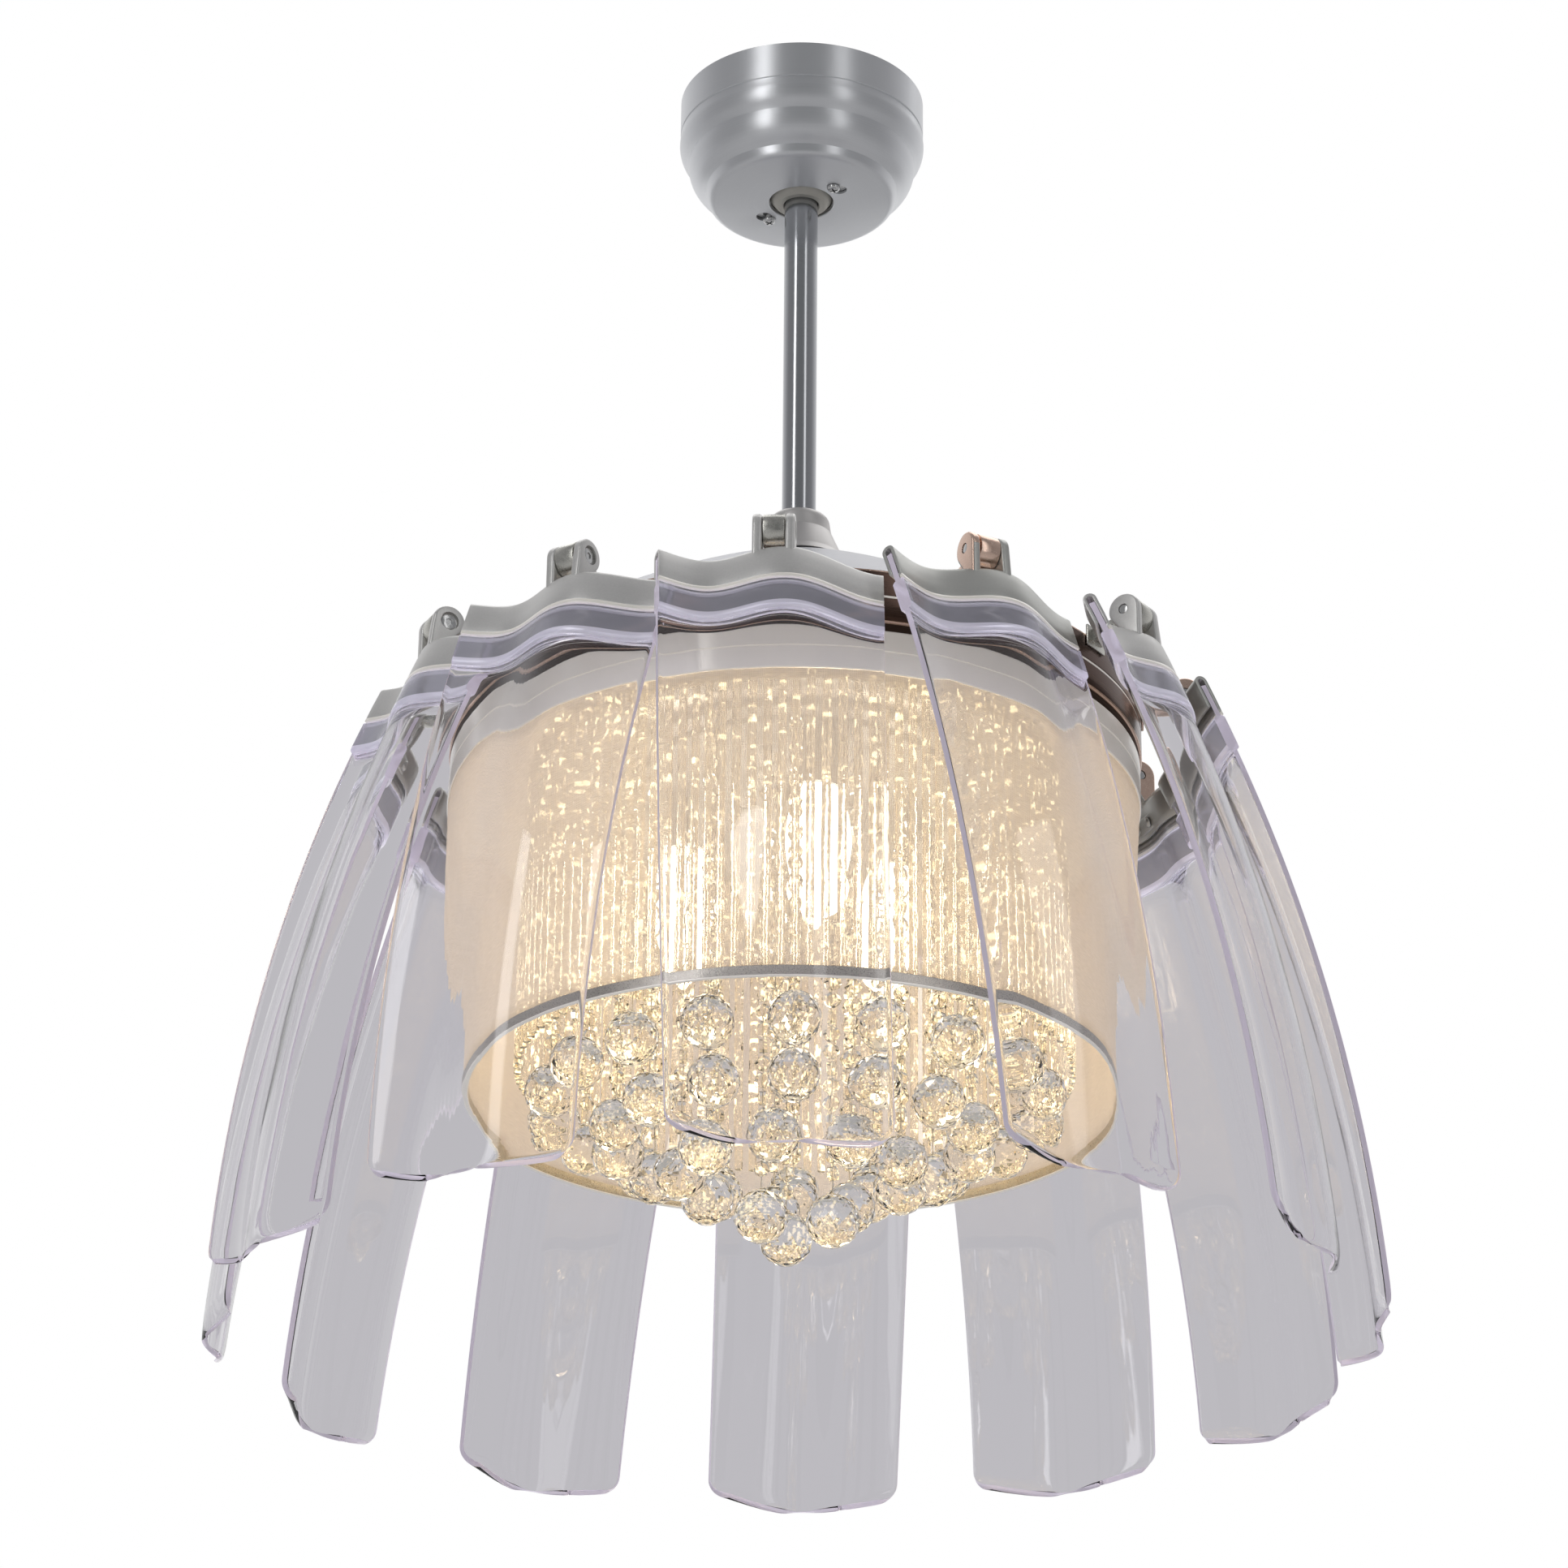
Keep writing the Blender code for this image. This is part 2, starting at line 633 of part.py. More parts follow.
def make_lamp_plate(material, parent):
    hole = SHAFT_NECK_RADIUS + CLEARANCE
    plate = band(hole, LAMP_PLATE_RADIUS, LAMP_PLATE_TOP, LAMP_PLATE_BOTTOM)

    def sockets(work):
        for place in lamp_places():
            top = LAMP_PLATE_BOTTOM + LAMP_PLATE_THICKNESS / 2.0
            add_cylinder(work, SOCKET_RADIUS, top, SOCKET_FOOT, SMALL_STEPS, place)

    def bores(work):
        for place in lamp_places():
            radius = LAMP_BASE_RADIUS + CLEARANCE
            top = SOCKET_FOOT + LAMP_BASE_LENGTH + CLEARANCE
            add_cylinder(work, radius, top, SOCKET_FOOT - CUT_OVERRUN, TINY_STEPS, place)

    obj = revolve("lamp_plate", plate, MEDIUM_STEPS)
    combine(obj, mesh_object("sockets", sockets), "UNION")
    combine(obj, mesh_object("socket_bores", bores), "DIFFERENCE")
    return done(obj, material, parent)


def make_lamps(material, parent):
    shoulder = SOCKET_FOOT - CLEARANCE
    tip = shoulder - LAMP_BULB_LENGTH
    taper = mix(LAMP_BULB_RADIUS, LAMP_TIP_RADIUS, LAMP_TAPER_WIDTH_SHARE)
    profile = [
        (0.0, SOCKET_FOOT + LAMP_BASE_LENGTH),
        (LAMP_BASE_RADIUS, SOCKET_FOOT + LAMP_BASE_LENGTH),
        (LAMP_BASE_RADIUS, shoulder),
        (mix(LAMP_BASE_RADIUS, LAMP_BULB_RADIUS, LAMP_SHOULDER_SHARE), shoulder),
        (LAMP_BULB_RADIUS, mix(shoulder, tip, LAMP_WIDEST_SHARE)),
        (taper, mix(shoulder, tip, LAMP_TAPER_SHARE)),
        (LAMP_TIP_RADIUS, tip),
        (0.0, tip),
    ]
    for index, place in enumerate(lamp_places()):
        lamp = revolve(f"lamp_{index + 1}", profile, TINY_STEPS, closed=False)
        lamp.location = place
        done(lamp, material, parent)


def make_shade(fabric, metal, parent):
    profile = [(SHADE_TOP_RADIUS, SHADE_TOP), (SHADE_FOOT_RADIUS, SHADE_FOOT)]
    done(shell("shade_fabric", profile, SHADE_WALL, LARGE_STEPS), fabric, parent)
    outer = SHADE_FOOT_RADIUS + SHADE_WALL / 2.0
    foot = FOOT_RING_TOP - FOOT_RING_HEIGHT
    ring = band(outer - FOOT_RING_WIDTH, outer, FOOT_RING_TOP, foot)
    done(revolve("shade_foot_ring", ring, LARGE_STEPS), metal, parent)


def make_curtain(material, parent):
    """Rods side by side: a fluted tube that hangs under the pan."""
    top = PAN_UNDERSIDE - CLEARANCE

    def build(work):
        count = 2 * CURTAIN_RODS
        rim = bmesh.ops.create_circle(work, segments=count, radius=CURTAIN_RADIUS)["verts"]
        for index, vertex in enumerate(rim):
            vertex.co.z = top - CURTAIN_LENGTH
            if index % 2:
                vertex.co.xy *= (CURTAIN_RADIUS - CURTAIN_FLUTE) / CURTAIN_RADIUS
        wall = bmesh.ops.extrude_edge_only(work, edges=work.edges[:])
        lifted = [item for item in wall["geom"] if isinstance(item, bmesh.types.BMVert)]
        bmesh.ops.translate(work, verts=lifted, vec=(0.0, 0.0, CURTAIN_LENGTH))
        bmesh.ops.recalc_face_normals(work, faces=work.faces[:])

    obj = mesh_object("crystal_curtain", build)
    solidify(obj, CURTAIN_WALL)
    return done(obj, material, parent)


def tier_places(count, circle, drop, first):
    level = PAN_TOP - drop
    return [radial(circle, azimuth, level) for azimuth in ring_azimuths(count, first)]


def make_drops(name, carrier, places, material, parent, holes=None):
    """Balls on wires that hang from a carrier just under the pan."""

    def wires(work):
        for place in places:
            top = CARRIER_BOTTOM + CARRIER_THICKNESS / 2.0
            add_cylinder(work, CRYSTAL_WIRE_RADIUS, top, place.z, WIRE_STEPS, place)

    def balls(work):
        for place in places:
            bmesh.ops.create_uvsphere(
                work, u_segments=CRYSTAL_SIDES, v_segments=CRYSTAL_BANDS,
                radius=CRYSTAL_RADIUS, matrix=Matrix.Translation(place),
            )

    obj = revolve(name, carrier, MEDIUM_STEPS)
    if holes:
        combine(obj, mesh_object(name + "_holes", holes), "DIFFERENCE")
    combine(obj, mesh_object(name + "_wires", wires), "UNION")
    combine(obj, mesh_object(name + "_balls", balls), "UNION")
    return done(obj, material, parent)


def hoop(circle):
    """Carrier of an outer tier, round the lamp plate and straight under the pan."""
    return band(circle - CARRIER_MARGIN, circle + CARRIER_MARGIN, LAMP_PLATE_TOP, CARRIER_BOTTOM)


def make_outer_crystals(material, parent):
    outer = tier_places(OUTER_COUNT, OUTER_CIRCLE, OUTER_DROP, OUTER_AZIMUTH)
    make_drops("crystal_drops_outer", hoop(OUTER_CIRCLE), outer, material, parent)
    middle = tier_places(MIDDLE_COUNT, MIDDLE_CIRCLE, MIDDLE_DROP, MIDDLE_AZIMUTH)
    make_drops("crystal_drops_middle", hoop(MIDDLE_CIRCLE), middle, material, parent)


def make_inner_crystals(material, parent):
    """The two tiers under the lamp plate: a ring with the lamp sockets through it, and a disc."""

    def socket_holes(work):
        top = CARRIER_TOP + CUT_OVERRUN
        for place in lamp_places():
            radius = SOCKET_RADIUS + CLEARANCE
            add_cylinder(work, radius, top, CARRIER_BOTTOM - CUT_OVERRUN, SMALL_STEPS, place)

    margin = SOCKET_RADIUS + CARRIER_MARGIN
    ring = band(LAMP_CIRCLE - margin, LAMP_CIRCLE + margin, CARRIER_TOP, CARRIER_BOTTOM)
    inner = tier_places(INNER_COUNT, INNER_CIRCLE, INNER_DROP, INNER_AZIMUTH)
    make_drops("crystal_drops_inner", ring, inner, material, parent, socket_holes)
    hole = SHAFT_NECK_RADIUS + CLEARANCE
    disc = band(hole, CENTRE_CIRCLE + CARRIER_MARGIN, CARRIER_TOP, CARRIER_BOTTOM)
    centre = tier_places(CENTRE_COUNT, CENTRE_CIRCLE, CENTRE_DROP, CENTRE_AZIMUTH)
    make_drops("crystal_drops_centre", disc, centre, material, parent)


def hang_line(along):
    """Place and lean of the blade's middle line, in the hinge's frame."""
    bend = (BLADE_TIP_LEAN - BLADE_ROOT_LEAN) / BLADE_REACH
    lean = BLADE_ROOT_LEAN + bend * along
    out = CHANNEL_OUTSIDE_HINGE + (math.cos(BLADE_ROOT_LEAN) - math.cos(lean)) / bend
    down = CHANNEL_BELOW_HINGE + (math.sin(lean) - math.sin(BLADE_ROOT_LEAN)) / bend
    return out, -down, lean


def wave_height(across, share):
    """How far the blade stands out from its middle line at a share of its width."""
    height = mix(WAVE_HEIGHT_ROOT, WAVE_HEIGHT_TIP, share)
    tilt = mix(WAVE_TILT_ROOT, WAVE_TILT_TIP, share)
    droop = mix(WAVE_DROOP_ROOT, WAVE_DROOP_TIP, share)
    from_crest = across - WAVE_CREST_SHARE
    wave = height * (math.cos(2.0 * math.pi * from_crest / WAVE_LENGTH_SHARE) - 1.0)
    past_crest = max(0.0, from_crest) / (1.0 - WAVE_CREST_SHARE)
    return wave - tilt * from_crest - droop * past_crest**2


def blade_point(across, along, inset=0.0):
    """A point of the blade's middle surface. across runs from lip edge to tucked edge."""
    share = along / BLADE_REACH
    out, level, lean = hang_line(along)
    lip = mix(LIP_EDGE_ROOT, LIP_EDGE_TIP, share) + inset
    tuck = mix(TUCK_EDGE_ROOT, TUCK_EDGE_TIP, share) - inset
    height = wave_height(across, share)
    side = mix(lip, tuck, across)
    return Vector((out + height * math.cos(lean), side, level + height * math.sin(lean)))


def blade_normal(across, along):
    """Direction out of the blade's face, away from the lamp."""
    nudge_share = 1e-3
    nudge = nudge_share * BLADE_REACH
    sideways = blade_point(across + nudge_share, along) - blade_point(across - nudge_share, along)
    downwards = blade_point(across, along + nudge) - blade_point(across, along - nudge)
    return sideways.cross(-downwards).normalized()


def strip_grid(work, rows, place):
    """A grid of faces with one row of points for each entry of rows."""
    grid = bmesh.ops.create_grid(
        work, x_segments=BLADE_STRIPS, y_segments=len(rows) - 1, size=0.5
    )
    points = sorted(grid["verts"], key=lambda vertex: (round(vertex.co.y, 4), vertex.co.x))
    for index, vertex in enumerate(points):
        across = vertex.co.x + 0.5
        vertex.co = place(across, rows[index // (BLADE_STRIPS + 1)])
    return points


def blade_rows():
    """Distance along the blade and inset of the edges, root first."""
    root = CHANNEL_WALL + CLEARANCE
    pad_start = CHANNEL_OUTER_LENGTH + CLEARANCE
    pad_end = pad_start + PAD_STEP + PAD_LENGTH
    corner = BLADE_REACH - TIP_CORNER_RADIUS
    rows = [(root, 0.0), (pad_start, 0.0), (pad_start + PAD_STEP, 0.0)]
    rows += [(pad_end, 0.0), (pad_end + PAD_STEP, 0.0)]
    rows += [(mix(pad_end, corner, share), 0.0) for share in BLADE_ROW_SHARES]
    rows.append((corner, 0.0))
    cut = CORNER_CUT_SHARE * TIP_CORNER_RADIUS
    rows.append((BLADE_REACH - cut, cut))
    rows.append((BLADE_REACH, TIP_CORNER_RADIUS))
    return rows


def make_blade_mesh():
    """Blade in its hinge's frame: an open waved sheet, thickened, with a thicker root pad."""
    rows = blade_rows()
    pad_rows = (2, 3)

    def place(across, row):
        along, inset = row
        if inset:
            along -= TIP_CONVEXITY * (2.0 * across - 1.0) ** 2
        return blade_point(across, along, inset)

    def build(work):
        weights = work.verts.layers.deform.verify()
        points = strip_grid(work, rows, place)
        for index, vertex in enumerate(points):
            row = index // (BLADE_STRIPS + 1)
            vertex[weights][0] = 1.0 if row in pad_rows else 0.0

    obj = mesh_object("blade_pattern", build)
    obj.vertex_groups.new(name="pad")
    modifier = solidify(obj, PAD_THICKNESS, offset=0.0)
    modifier.vertex_group = "pad"
    modifier.thickness_vertex_group = BLADE_THICKNESS / PAD_THICKNESS
    return obj


def make_bracket_pattern():
    """Folded strip over the blade root, with two ears on top for the hinge pin."""
    half = BLADE_THICKNESS / 2.0 + CLEARANCE + CHANNEL_WALL / 2.0
    rows = [
        (CHANNEL_INNER_LENGTH, -half),
        (CHANNEL_WALL / 2.0, -half),
        (CHANNEL_WALL / 2.0, half),
        (CHANNEL_OUTER_LENGTH, half),
    ]

    def place(across, row):
        along, lift = row
        return blade_point(across, along) + lift * blade_normal(across, along)

    def ears(work):
        for side in (-1.0, 1.0):
            add_ear(work, side)

    def bore(work):
        length = BOSS_LENGTH + 2.0 * (EAR_GAP + EAR_THICKNESS) + CUT_OVERRUN
        add_round(work, PIN_RADIUS + CLEARANCE, length, TINY_STEPS, Matrix())

    obj = mesh_object("bracket_pattern", lambda work: strip_grid(work, rows, place))
    solidify(obj, CHANNEL_WALL, offset=0.0)
    combine(obj, mesh_object("bracket_ears", ears), "UNION")
    combine(obj, mesh_object("bracket_bore", bore), "DIFFERENCE")
    return obj


def add_ear(work, side):
    """A rounded lug from the strip's top edge up round the hinge pin."""
    inner = side * (BOSS_LENGTH / 2.0 + EAR_GAP)
    outer = inner + side * EAR_THICKNESS
    across = ((inner + outer) / 2.0 - LIP_EDGE_ROOT) / (TUCK_EDGE_ROOT - LIP_EDGE_ROOT)
    foot = blade_point(across, CHANNEL_WALL / 2.0)
    half = BLADE_THICKNESS / 2.0 + CHANNEL_WALL
    across_strip = blade_normal(across, CHANNEL_WALL / 2.0) * half
    points = []
    for index in range(SMALL_STEPS):
        angle = math.radians(360.0 * index / SMALL_STEPS)
        points.append((EAR_RADIUS * math.cos(angle), EAR_RADIUS * math.sin(angle)))
    for corner in (foot - across_strip, foot + across_strip):
        points.append((corner.x, corner.z))
    hull = [work.verts.new((x, y, z)) for y in (inner, outer) for x, z in points]
    result = bmesh.ops.convex_hull(work, input=hull)
    loose = [item for item in result["geom_interior"] if isinstance(item, bmesh.types.BMVert)]
    bmesh.ops.delete(work, geom=loose, context="VERTS")


def make_pin_pattern():
    length = BOSS_LENGTH + 2.0 * (EAR_GAP + EAR_THICKNESS) - 2.0 * CLEARANCE

    return mesh_object(
        "pin_pattern", lambda work: add_round(work, PIN_RADIUS, length, TINY_STEPS, Matrix())
    )


def make_blades(clear, nickel, steel, turning):
    """Twelve blades, brackets and pins, each at its own hinge."""
    blade = done(make_blade_mesh(), clear)
    bracket = done(make_bracket_pattern(), nickel)
    pin = done(make_pin_pattern(), steel)
    for index, azimuth in enumerate(blade_azimuths()):
        number = f"{index + 1:02d}"
        place = hinge_place(azimuth)
        hinge = pivot(f"blade_hinge_{number}", place, turning)
        for name, pattern in (("blade", blade), ("blade_bracket", bracket), ("hinge_pin", pin)):
            copy = link(bpy.data.objects.new(f"{name}_{number}", pattern.data), parts)
            copy.parent = hinge
    for pattern in (blade, bracket, pin):
        bpy.data.objects.remove(pattern)


def main():
    for obj in list(bpy.data.objects):
        bpy.data.objects.remove(obj)
    bpy.context.scene.collection.children.link(parts)
    bpy.context.scene.collection.children.link(cutters)
    brushed = finish("brushed_nickel", (0.55, 0.55, 0.56), 0.32, 1.0)
    polished = finish("polished_metal", (0.78, 0.78, 0.80), 0.18, 1.0)
    satin = finish("satin_nickel", (0.60, 0.58, 0.54), 0.38, 1.0)
    sanded = finish("sandblasted_steel", (0.62, 0.61, 0.56), 0.65, 1.0)
    steel = finish("bright_steel", (0.70, 0.70, 0.71), 0.25, 1.0)
    silver = finish("silver_paint", (0.66, 0.65, 0.66), 0.45, 0.3)
    bronze = finish("dark_bronze", (0.11, 0.07, 0.06), 0.30, 0.9)
    copper = finish("copper_windings", (0.72, 0.38, 0.22), 0.40, 1.0)
    magnets = finish("ferrite", (0.09, 0.09, 0.10), 0.60, 0.1)
    white = finish("white_enamel", (0.90, 0.90, 0.88), 0.40, 0.0)
    frosted = finish("warm_lamp", (1.00, 0.92, 0.76), 0.30, 0.0)
    organza = finish("organza", (0.93, 0.86, 0.78), 0.80, 0.0, alpha=0.55)
    crystal = finish("cut_crystal", (0.96, 0.97, 0.98), 0.04, 0.0, alpha=0.45)
    clear = finish("clear_acrylic", (0.80, 0.78, 0.86), 0.06, 0.0, alpha=0.35)

    swing = pivot("rod_swing", Matrix.Translation((0.0, 0.0, BALL_CENTRE)))
    turning = pivot("rotor_turn", Matrix.Translation((0.0, 0.0, RING_TOP)), swing)
    make_hanger_bracket(steel)
    make_canopy(brushed)
    make_hanger_ball(sanded, swing)
    make_downrod(brushed, swing)
    make_neck_cover(silver, swing)
    make_motor_dome(polished, turning)
    make_rotor_ring(bronze, turning)
    make_motor_core(steel, copper, magnets, swing, turning)
    make_light_pan(brushed, swing)
    make_lamp_plate(white, swing)
    make_lamps(frosted, swing)
    make_shade(organza, polished, swing)
    make_curtain(crystal, swing)
    make_outer_crystals(crystal, swing)
    make_inner_crystals(crystal, swing)
    make_blades(clear, satin, steel, turning)


main()
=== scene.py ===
"""Looks of a chandelier ceiling fan: turned nickel, clear waved blades, organza and cut crystal."""

import math

import bmesh
import bpy
from mathutils import Matrix, Vector


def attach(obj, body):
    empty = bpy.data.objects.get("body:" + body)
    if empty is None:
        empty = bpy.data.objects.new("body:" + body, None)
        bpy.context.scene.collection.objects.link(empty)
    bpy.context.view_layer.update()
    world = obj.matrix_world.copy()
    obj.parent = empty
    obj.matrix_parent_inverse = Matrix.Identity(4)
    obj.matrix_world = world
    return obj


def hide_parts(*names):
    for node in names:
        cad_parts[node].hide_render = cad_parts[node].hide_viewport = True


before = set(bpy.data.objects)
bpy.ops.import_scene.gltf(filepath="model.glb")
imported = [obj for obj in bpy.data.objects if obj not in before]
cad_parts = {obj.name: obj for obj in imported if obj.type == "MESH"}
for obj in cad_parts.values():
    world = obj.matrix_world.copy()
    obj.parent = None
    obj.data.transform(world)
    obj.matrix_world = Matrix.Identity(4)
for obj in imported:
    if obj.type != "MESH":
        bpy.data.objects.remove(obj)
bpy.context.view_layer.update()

# Camera, as fitted to the photograph
SENSOR_WIDTH = 36.0
FRAME_PIXELS = 1932.0
FOCUS_PIXELS = 6342.0
CAMERA_PLACE = (0.0, -2.5571, -1.5855)
CAMERA_PITCH = math.radians(24.316)
CAMERA_YAW = math.radians(-0.155)
CAMERA_ROLL = math.radians(0.5206)

# Sizes of the solids, in metres
PLAY = 0.0003
CANOPY_RADIUS = 0.070
CANOPY_DEPTH = 0.064
CANOPY_WALL = 0.0015
CANOPY_HOLE = 0.0185
PLATE_RADIUS = 0.058
PLATE_THICKNESS = 0.0025
SEAT_RADIUS = 0.035
SEAT_TOP = -0.0532
SEAT_BOTTOM = -0.0622
BALL_RADIUS = 0.021
BALL_CENTRE = -0.050
SCREW_CIRCLE = 0.026
SCREW_AZIMUTHS = (45.0, 225.0)
ROD_RADIUS = 0.0095
ROD_BORE = 0.0075
ROD_TOP = -0.030
NECK_TOP = -0.267
NECK_FOOT = -0.2985
DOME_TOP = -0.300
HUB_RADIUS = 0.0163
HUB_DEPTH = 0.011
RING_RADIUS = 0.188
RING_TOP = -0.391
RING_BOTTOM = -0.421
RING_WALL = 0.003
PAN_RADIUS = 0.187
PAN_TOP = -0.425
PAN_FOOT = -0.4495
PAN_HOLE = 0.0073
PAN_WALL = 0.0015
SHADE_TOP = -0.4498
SHADE_TOP_RADIUS = 0.1865
SHADE_FOOT_RADIUS = 0.1785
SHADE_HEIGHT = 0.160
SHADE_INSET = 0.0005
FOOT_RING_TOP = -0.6101
FOOT_RING_HEIGHT = 0.006
FOOT_RING_WIDTH = 0.0025
LAMP_COUNT = 3
LAMP_CIRCLE = 0.065
LAMP_AZIMUTH = 10.0
LAMP_LENGTH = 0.0803
SOCKET_RADIUS = 0.013
SOCKET_FOOT = -0.4628
CURTAIN_RADIUS = 0.1475
CURTAIN_TOP = -0.4268
CURTAIN_LENGTH = 0.174
CARRIER_TOP = -0.4291
CARRIER_BOTTOM = -0.4311
CARRIER_MARGIN = 0.006
CRYSTAL_RADIUS = 0.0145
BEAD_RADIUS = 0.0040
BEAD_PITCH = 0.0098
FIRST_BEAD = 0.012
# Crystal tiers: how many balls, how far out, their level, first azimuth
TIERS = {
    "outer": (18, 0.130, -0.619, 0.0),
    "middle": (14, 0.096, -0.637, 0.0),
    "inner": (9, 0.060, -0.656, 30.0),
    "centre": (3, 0.022, -0.6845, 70.0),
}

# Blade hinge and blade, in the hinge's own frame: X outwards, Y along the pin, Z up
BLADE_COUNT = 12
FIRST_AZIMUTH = -3.35
COPPER_AZIMUTHS = (27, 87, 117)
HINGE_RADIUS = 0.212
HINGE_LEVEL = -0.384
BOSS_RADIUS = 0.0088
BOSS_LENGTH = 0.0112
EAR_RADIUS = 0.009
EAR_THICKNESS = 0.005
EAR_GAP = 0.0004
EAR_OUTSIDE = BOSS_LENGTH / 2.0 + EAR_GAP + EAR_THICKNESS
PIN_RADIUS = 0.0025
CHANNEL_OUTSIDE_HINGE = 0.008
CHANNEL_BELOW_HINGE = 0.017
CHANNEL_OUTER = 0.021
CHANNEL_INNER = 0.015
CHANNEL_WALL = 0.0018
REACH = 0.3615
THICKNESS = 0.003
PAD_THICKNESS = 0.007
THIN = THICKNESS / PAD_THICKNESS
PAD_LENGTH = 0.021
PAD_STEP = 0.0017
ROOT_LEAN = math.radians(23.8)
TIP_LEAN = math.radians(3.5)
LIP_ROOT = -0.0595
LIP_TIP = -0.042
TUCK_ROOT = 0.055
TUCK_TIP = 0.064
TIP_CORNER = 0.012
TIP_CONVEXITY = 0.006
TIP_BOW = 0.060
FOLD_RISE = 0.004
# The wave across a blade. Pairs are at the root and at the tip, the rest are shares of the width
WAVE_HEIGHT = (0.0057, 0.0025)
WAVE_TILT = (0.0075, 0.008)
WAVE_DROOP = (0.0066, 0.010)
WAVE_CREST = 0.58
WAVE_AFTER_CREST = 0.42
WAVE_PITCH = 0.74
STRIPS_ACROSS = 40

# Finishes of the blade: sheet, thick pad and the pad's steps, each followed by its rim
BLADE_FINISHES = ("acrylic", "edge", "pad", "edge", "step", "edge")
# Finishes of the bracket: sheet, warm ear, lower edge painted bright as a highlight, and the sheet
# beside a warm ear
BRACKET_FINISHES = ("satin", "copper", "bright", "greyed")
# Materials by finish, filled in main()
LOOKS = {}


def at(x=0.0, y=0.0, z=0.0):
    return Matrix.Translation((x, y, z))


def turn(degrees, axis="Z"):
    return Matrix.Rotation(math.radians(degrees), 4, axis)


ALONG_Y = turn(90.0, "X")


def turn_to(azimuth):
    return turn(azimuth - 90.0)


def around(radius, azimuth, level=0.0):
    return turn_to(azimuth) @ Vector((radius, 0.0, level))


def lamp_place(index, level=0.0):
    return around(LAMP_CIRCLE, LAMP_AZIMUTH + 360.0 * index / LAMP_COUNT, level)


def blade_azimuth(index):
    return FIRST_AZIMUTH + 360.0 * index / BLADE_COUNT


def hinge_place(index):
    return turn_to(blade_azimuth(index)) @ at(HINGE_RADIUS, 0.0, HINGE_LEVEL)


def is_warm(index):
    """Some hinges are copper in part."""
    return round(blade_azimuth(index)) in COPPER_AZIMUTHS


def mix(start, end, share):
    return start + (end - start) * share


def added(name, data):
    """A new object in the scene."""
    made = bpy.data.objects.new(name, data)
    bpy.context.scene.collection.objects.link(made)
    return made


def set_camera():
    """Looks up at the fan from in front of it and below."""
    camera = added("camera", bpy.data.cameras.new("camera"))
    camera.data.sensor_width = SENSOR_WIDTH
    camera.data.lens = FOCUS_PIXELS * SENSOR_WIDTH / FRAME_PIXELS
    camera.data.clip_end = 50.0
    level = math.cos(CAMERA_PITCH)
    forward = Vector(
        (math.sin(CAMERA_YAW) * level, math.cos(CAMERA_YAW) * level, math.sin(CAMERA_PITCH))
    )
    side = Vector((math.cos(CAMERA_YAW), -math.sin(CAMERA_YAW), 0.0))
    up = side.cross(forward)
    right = side * math.cos(CAMERA_ROLL) + up * math.sin(CAMERA_ROLL)
    above = up * math.cos(CAMERA_ROLL) - side * math.sin(CAMERA_ROLL)
    matrix = Matrix((right, above, -forward)).transposed().to_4x4()
    matrix.translation = CAMERA_PLACE
    camera.matrix_world = matrix
    bpy.context.scene.camera = camera


# Node helpers


def new_material(name):
    material = bpy.data.materials.new(name)
    material.use_nodes = True
    tree = material.node_tree
    return material, tree, tree.nodes["Principled BSDF"]


def feed(tree, made, inputs):
    """Fills a node's inputs by name or number. A socket is linked, and a constant is set."""
    for key, value in inputs.items():
        socket = made.inputs[key]
        if isinstance(value, bpy.types.NodeSocket):
            tree.links.new(value, socket)
        elif socket.type == "RGBA":
            socket.default_value = (*value, 1.0)
        else:
            socket.default_value = value


def node(tree, kind, inputs=None, **settings):
    made = tree.nodes.new("ShaderNode" + kind)
    for key, value in settings.items():
        setattr(made, key, value)
    feed(tree, made, inputs or {})
    return made


def noise(tree, vector, scale, detail=4.0, roughness=0.5):
    inputs = {"Vector": vector, "Scale": scale, "Detail": detail, "Roughness": roughness}
    return node(tree, "TexNoise", inputs).outputs["Fac"]


def spread(tree, value, low, high, from_low=0.0, from_high=1.0):
    inputs = {"From Min": from_low, "From Max": from_high, "To Min": low, "To Max": high}
    return node(tree, "MapRange", {"Value": value, **inputs}).outputs["Result"]


def between(tree, share, first, second):
    """Colour between two colours by a mask."""
    return node(tree, "Mix", {0: share, 6: first, 7: second}, data_type="RGBA").outputs[2]


def maths(tree, operation, *values):
    return node(tree, "Math", dict(enumerate(values)), operation=operation).outputs[0]


def bumped(tree, height, strength, distance):
    inputs = {"Height": height, "Strength": strength, "Distance": distance}
    return node(tree, "Bump", inputs).outputs["Normal"]


def stretched(tree, vector, scale):
    return node(tree, "Mapping", {"Vector": vector, "Scale": scale}).outputs[0]


def parted(tree, vector):
    return node(tree, "SeparateXYZ", {0: vector}).outputs


def object_place(tree):
    return node(tree, "TexCoord").outputs["Object"]


def turned_rings(group, fineness):
    """Fine rings left by turning or polishing round the Z axis."""
    x, y, z = parted(group, object_place(group))
    squares = [maths(group, "MULTIPLY", length, length) for length in (x, y)]
    radius = maths(group, "SQRT", maths(group, "ADD", *squares))
    steps = [maths(group, "MULTIPLY", length, fineness) for length in (radius, z)]
    place = node(group, "CombineXYZ", dict(enumerate(steps)))
    return noise(group, place.outputs[0], 1.0, 3.0, 0.6)


def blasted_grain(group, fineness):
    """Fine grain of a blasted or cast face."""
    return noise(group, object_place(group), fineness, 3.0)


